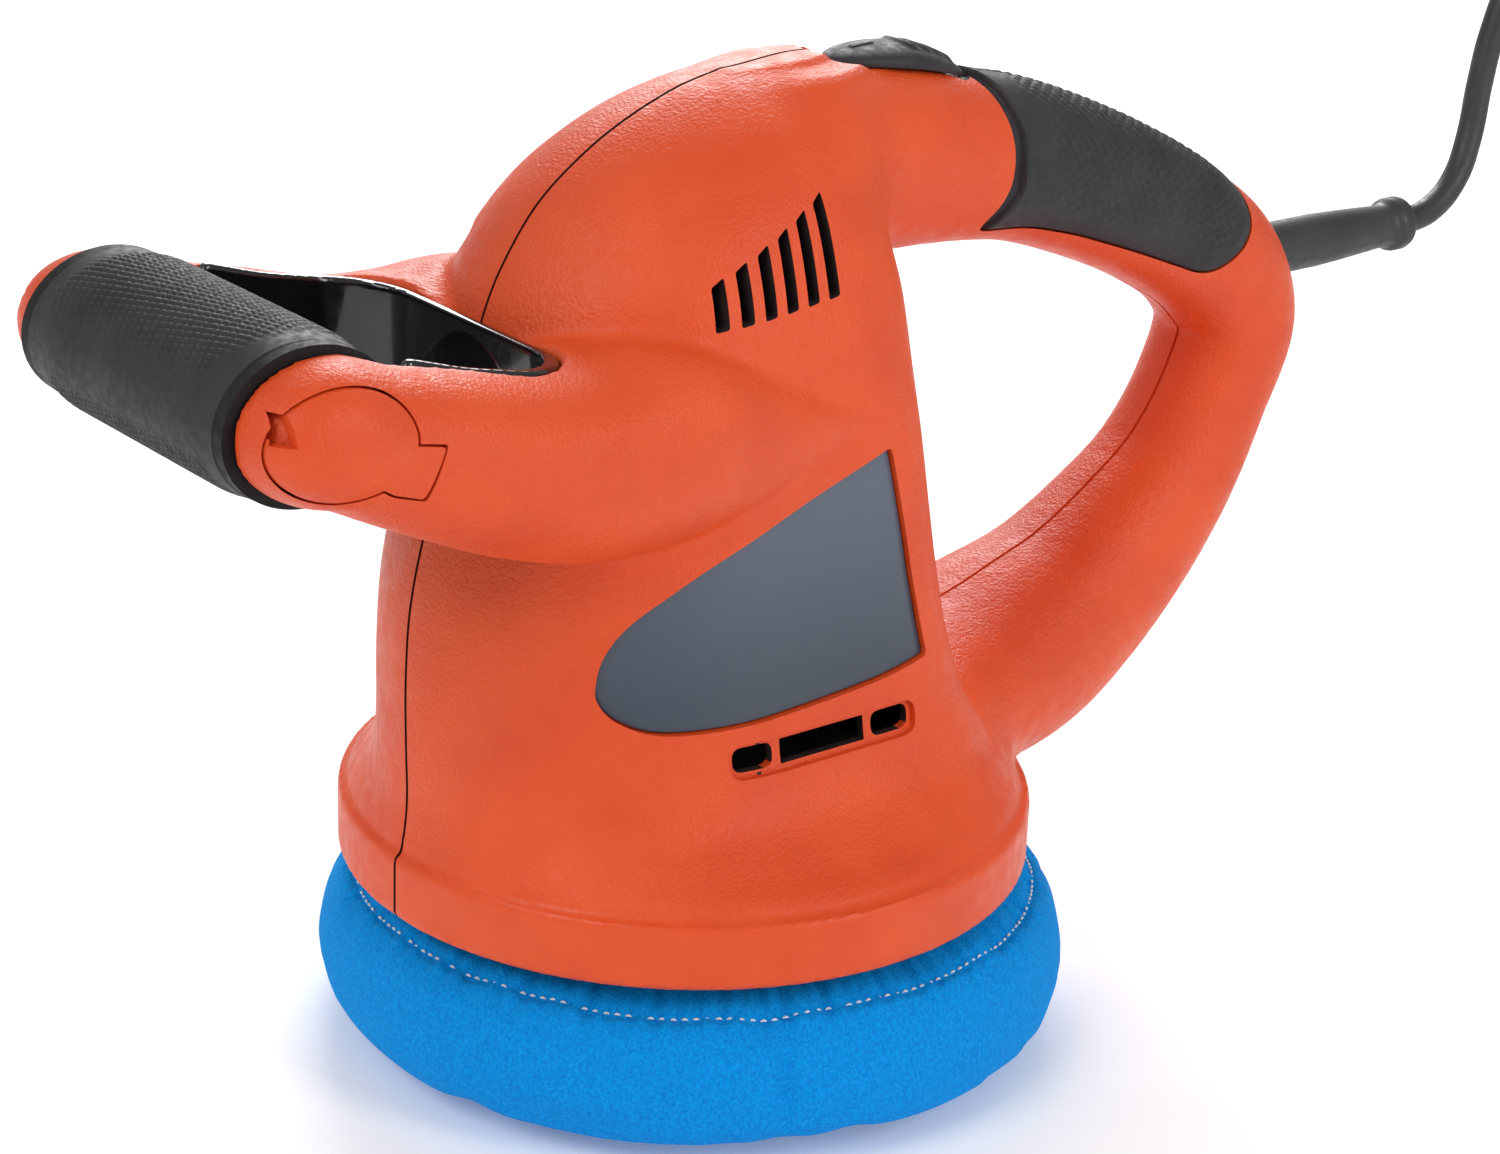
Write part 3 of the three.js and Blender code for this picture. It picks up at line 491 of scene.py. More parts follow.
def surface(name, grid, field, level=0.0, step=1):
    """The closed surface where a field has a level, worked out from every step-th point of it."""
    values = field[::step, ::step, ::step].astype(np.float32)
    volume = openvdb.FloatGrid(OUTSIDE)
    volume.copyFromArray(np.pad(values, 1, constant_values=OUTSIDE))
    points, quads = volume.convertToQuads(isovalue=level)
    points = (np.array(points, float) - 1) * (grid.voxel * step) + grid.low + (0, 0, DATUM)
    return outward(new_object(name, mesh_from(name, points, np.array(quads).tolist())))


def path_distance(y, z, path):
    """The distance from each (y, z) to an open path of (y, z) corners."""
    nearest = math.inf
    for (ay, az), (by, bz) in zip(path, path[1:]):
        dy, dz = by - ay, bz - az
        t = np.clip(((y - ay) * dy + (z - az) * dz) / max(dy * dy + dz * dz, 1e-9), 0, 1)
        nearest = np.minimum(nearest, (y - ay - t * dy) ** 2 + (z - az - t * dz) ** 2)
    return np.sqrt(nearest)


def outline_distance(y, z, outline):
    """The distance from each (y, z) to a closed outline, negative inside it."""
    closed = outline + outline[:1]
    inside = np.zeros(np.broadcast(y, z).shape, bool)
    for (ay, az), (by, bz) in zip(closed, closed[1:]):
        if az != bz:
            crosses = (az > z) != (bz > z)
            inside ^= crosses & (y < ay + (z - az) / (bz - az) * (by - ay))
    distance = path_distance(y, z, closed)
    return np.where(inside, -distance, distance)


# ---- Faces that take a piece's second material ----
def face_middles(thing):
    """The x, y and z of the middle of each face, with z above the datum."""
    middles = np.empty(len(thing.data.polygons) * 3)
    thing.data.polygons.foreach_get("center", middles)
    return (middles.reshape(-1, 3) / MM - (0, 0, DATUM)).T


def use_second_material(thing, chosen):
    thing.data.polygons.foreach_set("material_index", chosen.astype(np.int32))


# ---- Materials: each is built from noise on the piece's own coordinates ----
def linear(*srgb):
    return tuple(((c / 255 + 0.055) / 1.055) ** 2.4 for c in srgb)


def lighter(color, by):
    return tuple(c + by for c in color)


class Finish:
    """A material, and the nodes that vary its colour, roughness and relief."""

    def __init__(self, name, color, roughness, metallic=0.0):
        self.made = bpy.data.materials.new(name)
        self.made.use_nodes = True
        self.nodes = self.made.node_tree.nodes
        self.links = self.made.node_tree.links
        self.shader = self.nodes["Principled BSDF"]
        self.color = color
        self.set("Base Color", (*linear(*color), 1))
        self.set("Roughness", roughness)
        self.set("Metallic", metallic)
        self.place = self.nodes.new("ShaderNodeTexCoord").outputs["Object"]

    def set(self, socket, value):
        self.shader.inputs[socket].default_value = value
        return self

    def stretched(self, x, y, z):
        """The piece's coordinates, scaled along each axis."""
        mapping = self.nodes.new("ShaderNodeMapping")
        mapping.inputs["Scale"].default_value = (x, y, z)
        self.links.new(self.place, mapping.inputs["Vector"])
        return mapping.outputs["Vector"]

    def noise(self, scale, detail=2.0, place=None):
        node = self.nodes.new("ShaderNodeTexNoise")
        node.inputs["Scale"].default_value = scale
        node.inputs["Detail"].default_value = detail
        self.links.new(place or self.place, node.inputs["Vector"])
        return node.outputs["Fac"]

    def cells(self, scale, place=None):
        node = self.nodes.new("ShaderNodeTexVoronoi")
        node.inputs["Scale"].default_value = scale
        self.links.new(place or self.place, node.inputs["Vector"])
        return node.outputs["Distance"]

    def height(self):
        """How far up the piece a point is, in metres."""
        node = self.nodes.new("ShaderNodeSeparateXYZ")
        self.links.new(self.place, node.inputs["Vector"])
        return node.outputs["Z"]

    def between(self, source, start, end, low, high):
        """Maps a source that runs from start to end onto low to high."""
        node = self.nodes.new("ShaderNodeMapRange")
        for name, value in zip(("From Min", "From Max", "To Min", "To Max"), (start, end, low, high)):
            node.inputs[name].default_value = value
        self.links.new(source, node.inputs["Value"])
        return node.outputs["Result"]

    def product(self, first, second):
        node = self.nodes.new("ShaderNodeMath")
        node.operation = "MULTIPLY"
        self.links.new(first, node.inputs[0])
        self.links.new(second, node.inputs[1])
        return node.outputs["Value"]

    def colors(self, source, low, high, start=0.35, end=0.65):
        """Colour that runs from low to high with the source."""
        node = self.nodes.new("ShaderNodeValToRGB")
        first, last = node.color_ramp.elements
        first.position, last.position = start, end
        first.color, last.color = (*linear(*low), 1), (*linear(*high), 1)
        self.links.new(source, node.inputs["Fac"])
        self.links.new(node.outputs["Color"], self.shader.inputs["Base Color"])
        return self

    def rough(self, source, low, high, start=0.35, end=0.65):
        self.links.new(self.between(source, start, end, low, high), self.shader.inputs["Roughness"])
        return self

    def relief(self, source, depth, strength=1.0):
        """Bump of a depth in metres, on top of any bump that is there."""
        bump = self.nodes.new("ShaderNodeBump")
        bump.inputs["Strength"].default_value = strength
        bump.inputs["Distance"].default_value = depth
        self.links.new(source, bump.inputs["Height"])
        for link in list(self.shader.inputs["Normal"].links):
            self.links.new(link.from_socket, bump.inputs["Normal"])
        self.links.new(bump.outputs["Normal"], self.shader.inputs["Normal"])
        return self


GRAIN_STARTS = (0.055, 0.058)  # heights over which the housing's grain fades in, in metres
BADGE_FADE = (0.0935, 0.1335)  # heights over which the badge grows lighter, in metres


def orange_plastic():
    """Moulded plastic with a fine leather grain, which fades out on the smooth skirt band."""
    finish = Finish("orange_plastic", (222, 78, 30), 0.42)
    finish.colors(finish.noise(38, 4), (216, 73, 27), (226, 83, 34))
    finish.rough(finish.noise(260, 3), 0.36, 0.5)
    grained = finish.between(finish.height(), *GRAIN_STARTS, 0.15, 1)
    finish.relief(finish.product(finish.noise(1250, 3.5), grained), 0.00042, 0.8)
    finish.relief(finish.noise(420, 2), 0.00018, 0.5)
    finish.set("Specular IOR Level", 0.34)
    return finish.made


def soft_rubber(name="grip_rubber_matt", color=(47, 46, 50), roughness=0.55):
    finish = Finish(name, color, roughness)
    finish.colors(finish.noise(90, 4), lighter(color, -5), lighter(color, 6), 0.3, 0.7)
    finish.rough(finish.noise(500, 2), roughness - 0.05, roughness + 0.12)
    finish.relief(finish.noise(2600, 2), 0.00007, 0.6)
    finish.set("Specular IOR Level", 0.3)
    return finish.made


def gloss_black():
    finish = Finish("liner_gloss_black", (13, 13, 15), 0.14)
    finish.rough(finish.noise(300, 4), 0.1, 0.2)
    finish.colors(finish.noise(60, 2), (11, 11, 13), (17, 17, 19))
    finish.relief(finish.noise(180, 1), 0.00012, 0.25)
    finish.set("Coat Weight", 0.35)
    finish.set("Coat Roughness", 0.05)
    return finish.made


def black_plastic(name="black_plastic_satin", color=(27, 27, 30), roughness=0.42):
    finish = Finish(name, color, roughness)
    finish.colors(finish.noise(120, 3), lighter(color, -4), lighter(color, 5))
    finish.rough(finish.noise(420, 2), roughness - 0.06, roughness + 0.1)
    finish.relief(finish.noise(1900, 2), 0.00006, 0.5)
    return finish.made


def badge_slate():
    """Slate panel that deepens towards its lower front end."""
    finish = Finish("badge_slate", (74, 84, 98), 0.3)
    finish.colors(finish.height(), (48, 60, 76), (82, 92, 108), *BADGE_FADE)
    finish.rough(finish.noise(300, 2), 0.27, 0.33)
    finish.relief(finish.noise(70, 1), 0.00004, 0.3)
    finish.set("Coat Weight", 0.15)
    finish.set("Coat Roughness", 0.2)
    return finish.made


def cord_jacket():
    finish = Finish("cord_jacket", (46, 46, 51), 0.5)
    finish.colors(finish.noise(75, 3), (41, 41, 46), (52, 52, 57))
    finish.rough(finish.noise(600, 2), 0.42, 0.58)
    finish.relief(finish.noise(1500, 2), 0.00008, 0.4)
    return finish.made


def blue_velour():
    """Short blue pile: tone that varies at random in clumps, painted darker between them as painted
    shade, with a soft edge glow.
    """
    finish = Finish("bonnet_blue_pile", (0, 132, 216), 0.95)
    finish.colors(finish.noise(1500, 4), (0, 126, 212), (0, 158, 240), 0.32, 0.68)
    finish.relief(finish.noise(2600, 4), 0.0006, 0.7)
    finish.relief(finish.noise(700, 3), 0.0007, 0.3)
    finish.set("Sheen Weight", 0.2)
    finish.set("Sheen Roughness", 0.5)
    finish.set("Sheen Tint", (0.05, 0.5, 1.0, 1))
    finish.set("Specular IOR Level", 0.15)
    return finish.made


def open_foam():
    """Dark foam with open pores, painted darker inside as painted shade."""
    finish = Finish("pad_foam", (60, 61, 64), 0.95)
    pores = finish.cells(900)
    # the pores' hollows are painted darker than the foam round them: painted shade
    finish.colors(pores, (30, 31, 33), (78, 79, 82), 0.05, 0.45)
    finish.relief(pores, 0.0008, 0.9)
    finish.relief(finish.noise(500, 4), 0.0004, 0.6)
    return finish.made


def white_thread():
    finish = Finish("white_thread", (226, 230, 232), 0.8)
    finish.colors(finish.noise(2500, 2), (206, 212, 216), (240, 243, 245))
    finish.relief(finish.noise(5000, 1), 0.0001, 0.8)
    finish.set("Sheen Weight", 0.3)
    return finish.made


def elastic_band():
    finish = Finish("elastic_band", (40, 96, 160), 0.85)
    # the hollows of the knit are painted darker than its tops: painted shade
    finish.colors(finish.cells(1100), (26, 74, 134), (62, 122, 188), 0.1, 0.6)
    finish.relief(finish.cells(1100), 0.0004, 0.7)
    return finish.made


def metal(name, color, roughness, grain=(1, 1, 1)):
    """Turned or drawn metal, with its tool marks stretched across the grain."""
    finish = Finish(name, color, roughness, 1.0)
    marks = finish.noise(400, 4, finish.stretched(*grain))
    finish.colors(marks, tuple(c * 0.88 for c in color), tuple(min(255, c * 1.08) for c in color))
    finish.rough(marks, roughness - 0.08, roughness + 0.12)
    finish.relief(marks, 0.00005, 0.6)
    return finish.made


def copper_wire():
    """Enamelled windings: rows of fine wire, painted darker in the grooves between them as painted
    shade.
    """
    finish = Finish("copper_wire", (176, 96, 52), 0.38, 0.85)
    wave = finish.nodes.new("ShaderNodeTexWave")
    wave.inputs["Scale"].default_value = 420
    wave.inputs["Distortion"].default_value = 0.6
    wave.bands_direction = "Z"
    finish.links.new(finish.place, wave.inputs["Vector"])
    finish.colors(wave.outputs["Fac"], (112, 56, 28), (198, 112, 62), 0.1, 0.8)
    finish.relief(wave.outputs["Fac"], 0.0003, 0.8)
    return finish.made


def carbon_block():
    finish = Finish("carbon_block", (38, 38, 40), 0.55)
    finish.colors(finish.noise(1400, 4), (28, 28, 30), (50, 50, 53))
    finish.relief(finish.noise(2200, 3), 0.00008, 0.6)
    return finish.made


MATERIALS = {
    "housing": orange_plastic(),
    "grip_rubber": soft_rubber(),
    "housing_liner": gloss_black(),
    "badge": badge_slate(),
    "black_plastic": black_plastic(),
    "cord_rubber": cord_jacket(),
    "steel": metal("steel_turned", (176, 178, 182), 0.32, (1, 1, 9)),
    "iron": metal("iron_laminated", (104, 106, 110), 0.5, (0.3, 0.3, 14)),
    "copper": copper_wire(),
    "brass": metal("brass_sheet", (198, 160, 88), 0.34),
    "carbon": carbon_block(),
    "foam": open_foam(),
    "bonnet_cloth": blue_velour(),
    "elastic": elastic_band(),
}
THREAD = white_thread()
# near-black for the walls inside the vents and the hollow: painted shade, since the real walls are the
# orange moulding
INSIDE_PAINTED_SHADE = black_plastic("housing_inside_painted_shade", (30, 15, 12), 0.7)
# black rubber for the front grip's collars; on the rear grips' sunk band it is dark rubber and painted
# shade as well
BLACK_COLLAR_AND_BAND_SHADE = soft_rubber("collar_black_and_band_shade", (20, 19, 21), 0.6)


def piece(thing, body, slot, replaced=(), extra=()):
    """Gives a finished piece its material, its body and the solids that it stands for."""
    thing.data.materials.clear()
    thing.data.materials.append(MATERIALS[slot])
    for material in extra:
        thing.data.materials.append(material)
    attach(thing, body)
    if replaced:
        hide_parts(*replaced)
    return thing


# ---- Cord and plug ----
CORD_ROUTE = [  # x, y and z from the strain relief to the coil, as in the solids
    (0, 215.3, 147.2), (0, 218, 147.2), (-0.3, 227.4, 149.2), (-1.2, 235.8, 155.4),
    (-2.4, 240.7, 164.5), (-3.3, 243.6, 177.5), (-3.4, 246.6, 190.5), (-2.8, 251.6, 202.5),
    (-1, 260.5, 211.1), (2, 272, 214.1), (5.6, 283.4, 211.1), (9.4, 292.4, 202.9), (13.2, 298.7, 191),
    (18, 305, 168), (22.5, 309.8, 142), (27, 314, 116), (31.2, 318.4, 90), (35.6, 323.8, 65),
    (40.4, 331.6, 42.5), (46, 341.8, 24.5), (51.6, 352.2, 12.2), (57.2, 361, 5.6), (63.2, 369.4, 3.5),
]
COIL_CENTRE = (98, 345)
COIL_LANES = (42.5, 29.5)  # radius of the outermost and the innermost turn
COIL_START = 145.0  # degrees; the coil winds clockwise seen from above
TAIL_ANGLE = 20.0
LANE_PITCH = 2 * CORD_RADIUS
LAYERS = (3.5, 9.85)  # heights of the two layers of turns
POINTS_PER_TURN = 14
TAIL_LENGTH = 34.0
TAIL_Z = 9.5
RELIEF_PROFILE = [  # radius, and y, from inside the handle to where the cord comes out
    (0, 149.5), (3.2, 149.5), (7.2, 149.5), (7.2, 152.5), (6.3, 152.6), (6.3, 184), (6.05, 191),
    (5.6, 199.5), (5.15, 207.6), (5.2, 208.8), (5.7, 209.9), (6.3, 210.5), (6.5, 211.3),
    (6.5, 213.8), (6.2, 214.7), (5.4, 215.2), (3.4, 215.3), (0, 215.3),
]
PLUG_RIBS = 5
PLUG_GROOVES = 4
BLADE_OUTLINE = [(44.3, -3.2), (59.3, -3.2), (61, -1.9), (61, 1.9), (59.3, 3.2), (44.3, 3.2)]
BLADE_X = 6.35
BLADE_HALF = 0.75
BLADE_HOLE = (57, 1.6)  # distance along the blade, and radius


def coil_points():
    """In over two turns, up onto the second layer, and out over two turns to the tail."""
    outer, inner = COIL_LANES
    whole = 5 + (COIL_START - TAIL_ANGLE) / 360
    count = round(whole * POINTS_PER_TURN)
    points = []
    for i in range(1, count + 1):
        turn = whole * i / count
        if turn < 2.5:
            radius = max(outer - LANE_PITCH * turn, inner)
        else:
            radius = min(inner + LANE_PITCH * max(turn - 3, 0), outer)
        z = LAYERS[0] + (LAYERS[1] - LAYERS[0]) * ramp(turn, 1.9, 2.6)
        angle = math.radians(COIL_START - 360 * turn)
        x = COIL_CENTRE[0] + radius * math.cos(angle)
        y = COIL_CENTRE[1] + radius * math.sin(angle)
        points.append((x, y, z))
    return points


def tail_point(distance):
    """A point on the straight end of the cord, past the coil."""
    angle = math.radians(TAIL_ANGLE)
    x = COIL_CENTRE[0] + COIL_LANES[0] * math.cos(angle) + distance * math.sin(angle)
    y = COIL_CENTRE[1] + COIL_LANES[0] * math.sin(angle) - distance * math.cos(angle)
    return (x, y, TAIL_Z)


def build_cord(with_pieces):
    """The free cord: up from the strain relief, down to the floor, round the coil, to the plug."""
    points = CORD_ROUTE + coil_points() + [tail_point(TAIL_LENGTH / 2), tail_point(TAIL_LENGTH)]
    curve = bpy.data.curves.new("power_cord", "CURVE")
    curve.dimensions = "3D"
    curve.bevel_depth = CORD_RADIUS * MM
    curve.bevel_resolution = 5
    curve.resolution_u = 6
    curve.use_fill_caps = True
    line = curve.splines.new("BEZIER")
    line.bezier_points.add(len(points) - 1)
    for knot, point in zip(line.bezier_points, points):
        knot.co = Vector(point) * MM
        knot.handle_left_type = knot.handle_right_type = "AUTO"
    cord = piece(new_object("power_cord", curve), "housing", "cord_rubber",
                 ("cord_tube", "cord_coil", "cord_tail"))


def along_y(thing, z):
    """Turns a body drawn about Z to lie along Y at a height above the floor."""
    turn = Matrix(((1, 0, 0, 0), (0, 0, 1, 0), (0, 1, 0, z * MM), (0, 0, 0, 1)))
    thing.data.transform(turn)
    return outward(thing)


def strain_relief():
    """A smooth tapered sleeve, and a flange where the cord leaves it."""
    sleeve = along_y(turned("strain_relief_sleeve", RELIEF_PROFILE, 64), RELIEF_Z + DATUM)
    return piece(smooth(sleeve, 40), "housing", "cord_rubber", ("strain_relief",))


def rounded_section(wide, high, power, count=56):
    """A superellipse: square for a low power, an oval for 1, a four-pointed star for 3."""
    points = []
    for k in range(count):
        angle = 2 * math.pi * k / count
        across, up = math.cos(angle), math.sin(angle)
        points.append((
            wide * math.copysign(abs(across) ** power, across),
            high * math.copysign(abs(up) ** power, up),
        ))
    return points


def at_plug(thing):
    """Moves a piece drawn along +Y to the end of the tail."""
    place = Matrix.Translation(Vector(tail_point(TAIL_LENGTH)) * MM)
    thing.data.transform(place @ Matrix.Rotation(math.radians(180 + TAIL_ANGLE), 4, "Z"))
    return outward(thing)


def plug_stations():
    """Sections along the plug: distance, half width, half height and the section's power."""
    stations = [(0, 3.6, 3.6, 1.0)]
    for rib in range(PLUG_RIBS):
        at = 1.2 + rib * 3.1
        half = 3.9 + rib * 0.12
        stations += [
            (at, half + 0.5, half, 0.9), (at + 1.7, half + 0.5, half, 0.9),
            (at + 2.0, half - 0.3, half - 0.6, 0.9), (at + 2.9, half - 0.3, half - 0.6, 0.9),
        ]
    stations += [(17.4, 5.6, 4.8, 0.8), (19.2, 9.5, 7.2, 0.6), (21.5, 12, 8.7, 0.55)]
    for groove in range(PLUG_GROOVES):
        at = 23.5 + groove * 4.2
        stations += [
            (at, 12.4, 8.9, 0.55), (at + 2.6, 12.4, 8.9, 0.55),
            (at + 3.1, 11.7, 8.6, 0.55), (at + 3.7, 11.7, 8.6, 0.55),
        ]
    return stations + [(41, 12.4, 8.9, 0.55), (43.6, 12.4, 8.9, 0.55), (44.2, 12, 8.5, 0.55)]


def plug():
    """A two-blade plug with a ribbed sleeve and finger grooves."""
    rings = [
        [(x, at, z) for x, z in rounded_section(wide, high, power)]
        for at, wide, high, power in plug_stations()
    ]
    body = at_plug(loft("plug_moulding", rings))
    pieces = [piece(smooth(body, 40), "housing", "cord_rubber", ("plug_body",))]
    outline = rounded(BLADE_OUTLINE, 0.8)
    along, radius = BLADE_HOLE
    for middle, label in ((-BLADE_X, "left"), (BLADE_X, "right")):
        rings = [[(middle + x, y, z) for y, z in outline] for x in (-BLADE_HALF, BLADE_HALF)]
        blade = loft(f"blade_{label}", rings)
        hole = turned("hole", [(0, -2), (radius, -2), (radius, 2), (0, 2)], 24)
        hole.data.transform(Matrix.Rotation(math.pi / 2, 4, "Y"))
        hole.data.transform(Matrix.Translation((middle * MM, along * MM, 0)))
        cut(blade, outward(hole))
        pieces.append(piece(smooth(at_plug(blade)), "housing", "brass", (f"plug_blade_{label}",)))
    return pieces


# ---- Housing ----
WALL = 3.2  # thickness of the body's wall
HANDLE_WALL = 5.4
HOLLOW_BLEND = 6.0
BADGE_NOSE = [  # (y, z) from the badge's top corner, round the nose, to its lower back corner
    (15, 131.8), (-8.5, 124), (-28, 116), (-40, 108.5), (-46.5, 103), (-50.2, 97), (-51.5, 91),
    (-51, 87.5), (-48, 83.7), (-41, 80.6), (-28.5, 80), (-9, 80.6), (12.5, 82.2), (26, 84.4),
]
BADGE_BACK = (21.5, 103)  # on its straight back edge
BADGE_GAP = 0.45
BADGE_POCKET = 2.4
BADGE_SKINS = (1.25, 2.3)  # depths of the panel's face and its underside
GRIP_FRONT = [(56, 200), (67, 194), (70, 182), (69.5, 171), (62.5, 161.5)]
GRIP_OUTLINE = GRIP_FRONT + [
    (79, 160.5), (93, 156.8), (112, 150), (133.5, 141.5), (143.5, 146.5), (148, 153.5), (146, 168),
    (151, 185), (100, 215),
]
GRIP_CORNER = 5
GRIP_POCKET = 2.3
SKIRT_ROOM = 72.5  # radius of the room inside the skirt
GROOVE = (0.42, 0.5)  # half width and depth of the groove between the halves
SCREW_PLACES = [(-61, 66), (-58, 104), (-40, 166), (155, 118), (128, 75), (88, 55), (20, 168)]
SCREW_HEAD_X = -12.0
SLIDE_CENTRE = (33.0, 111.0)
SLIDE_RADIUS = 88.0
SLIDE_ANGLE = math.radians(10.6)
SWITCH_CAP = (37.0, 18.0, 4.9)  # length, width, rise
SWITCH_TRAVEL = 5.0
STEM_ANGLE = 0.022
TRACK_HALF_WIDTH = 9.8
CAP_OVAL = (14.0, 10.4)
CAP_MIDDLE = (GRIP_Y - 0.5, GRIP_Z)
CAP_GAP = 0.5
CAP_POCKET = 2.3
CAP_UNDER = 2.0  # depth of the cap's underside
CAP_BULGE = 1.2
NOTCH_POCKET = 1.9
CAP_NOTCH = [
    (GRIP_Y - 14.2, GRIP_Z + 1.8), (GRIP_Y - 10.8, GRIP_Z + 1.8),
    (GRIP_Y - 10.8, GRIP_Z + 7.2), (GRIP_Y - 12.9, GRIP_Z + 7.2),
]
VENTS = 6  # slanted openings, each higher and longer than the one before
VENT_FIRST = (-26.5, 160.8, 170.5)  # front, foot and top
VENT_STEP = (5.4, 0.6, 2.5)
VENT_WIDTH = 2.9
VENT_LEAN = 0.8
LOWER_VENTS = [(-25, -15.6, 2.2), (-13.6, 8.5, 0.3), (10.5, 20.5, 2.2)]  # front, back, corner
LOWER_VENT_HEIGHTS = (70, 75.2)
VENT_RECESS = (-26.4, 21.9, 68.9, 76.3)  # front, back, bottom and top
RECESS_DEPTH = 1.3
NEAR_VENTS = ((-28, 6, 159, 185), 0.9)  # front, back, bottom and top, and the depth where the painted shade starts
NEAR_LOWER_VENTS = ((-27, 22, 69, 76), 1.8)
DARK_DEPTH = 2.9  # everything deeper than this gets painted shade


def slide_outline(inner, outer, start, end, steps=24):
    """A sector of a ring about the slide's centre line, seen from the side."""
    angles = [start + (end - start) * i / steps for i in range(steps + 1)]
    y, z = SLIDE_CENTRE
    over = [(y + outer * math.sin(a), z + outer * math.cos(a)) for a in angles]
    under = [(y + inner * math.sin(a), z + inner * math.cos(a)) for a in reversed(angles)]
    return over + under


def switch_track():
    """A shallow bed that follows the cap's oval and its travel, and a slot for the stem."""
    half = (SWITCH_CAP[0] / 2 + 0.7) / SLIDE_RADIUS
    travel = SWITCH_TRAVEL / SLIDE_RADIUS
    start, end = SLIDE_ANGLE - half - travel, SLIDE_ANGLE + half
    side = TRACK_HALF_WIDTH
    bed = prism("bed", slide_outline(SLIDE_RADIUS, SLIDE_RADIUS + 15, start, end), -side, side)
    front, back = (SLIDE_CENTRE[0] + SLIDE_RADIUS * math.sin(a) for a in (start, end))
    oval_plan = rounded(rectangle(-side, side, front, back), 14, 12)
    keep_inside(bed, loft("plan", [[(x, at, z) for x, at in oval_plan] for z in (180, 225)]))
    stem = STEM_ANGLE + 0.01
    slot_outline = slide_outline(
        SLIDE_RADIUS - 12, SLIDE_RADIUS + 1, SLIDE_ANGLE - stem - travel, SLIDE_ANGLE + stem,
    )
    return [bed, prism("stem_slot", slot_outline, -2.6, 2.6)]


def vent_tools():
    """The slanted vents high on the flank, and the three low ones with their shallow recess."""
    tools = []
    for i in range(VENTS):
        y, bottom, top = (first + step * i for first, step in zip(VENT_FIRST, VENT_STEP))
        back = y + VENT_WIDTH
        outline = [
            (y, bottom), (back, bottom + 0.5), (back + VENT_LEAN, top + 0.4), (y + VENT_LEAN, top - 1.4),
        ]
        tools.append(prism(f"vent_{i}", rounded(outline, 0.6, 4), 15, 60))
    for i, (start, end, radius) in enumerate(LOWER_VENTS):
        outline = rectangle(start, end, *LOWER_VENT_HEIGHTS)
        tools.append(prism(f"low_vent_{i}", rounded(outline, radius, 5), 25, 70))
    return tools, prism("vent_recess", rounded(rectangle(*VENT_RECESS), 3.6, 6), 20, 80)


def cap_outline_prism(name, grow, low, high):
    """The arm cap's outline, grown all round: an oval with a tab behind it."""
    halves = [half + grow for half in CAP_OVAL]
    disc = prism(name, oval_outline(CAP_MIDDLE, halves), low, high)
    tab = rounded([
        (GRIP_Y + 5, GRIP_Z - 8 - grow), (GRIP_Y + 9, GRIP_Z - 10.6 - grow),
        (GRIP_Y + 15 + grow, GRIP_Z - 12.4 - grow), (GRIP_Y + 19.4 + grow, GRIP_Z - 3 + grow),
        (GRIP_Y + 12.6, GRIP_Z - 1.6 + grow), (GRIP_Y + 5, GRIP_Z + 2 + grow),
    ], 0.8, 3)
    return join(disc, prism("ear", tab, low, high))


class Housing:
    """Distance fields of the right-hand half: the shell is body and handle, the whole has arms too."""

    def __init__(self):
        grid = Grid(*HOUSING_ROOM, VOXEL)
        self.grid = grid
        self.body = body_field(grid)
        self.handle = handle_field(grid)
        self.shell = smooth_join(self.body, self.handle, HANDLE_BLEND)
        with_arms = smooth_join(self.shell, arm_field(grid), ARM_BLEND)
        self.whole = smooth_join(with_arms, skirt_field(grid), SKIRT_BLEND)

    def skin(self, depth, whole=False):
        """The closed surface that lies a depth under the outside."""
        return surface("skin", self.grid, self.whole if whole else self.shell, -depth)

    def hollow(self):
        inner = smooth_join(self.body + WALL, self.handle + HANDLE_WALL, HOLLOW_BLEND)
        return surface("hollow", self.grid, inner, step=2)

    def pocket(self, tool, depth, whole=False):
        """The tool without what lies deeper than the depth."""
        return cut(tool, self.skin(depth, whole))

    def depth_at(self, x, y, z):
        """How deep points of either half lie under the outside."""
        places = np.stack([np.abs(x), y, z], 1)
        index = np.rint((places - self.grid.low) / self.grid.voxel).astype(int)
        index = np.clip(index, 0, np.array(self.whole.shape) - 1)
        return -self.whole[index[:, 0], index[:, 1], index[:, 2]]


def paint_shade_inside(thing, housing):
    """Paints shade on the walls inside the vents and the hollow: they take the dark material, which
    stands in for the shade there.
    """
    x, y, z = face_middles(thing)
    depth = housing.depth_at(x, y, z)
    dark = depth > DARK_DEPTH
    for (front, back, bottom, top), starts in (NEAR_VENTS, NEAR_LOWER_VENTS):
        near = (y > front) & (y < back) & (z > bottom) & (z < top)
        dark |= near & (depth > starts)
    use_second_material(thing, dark)


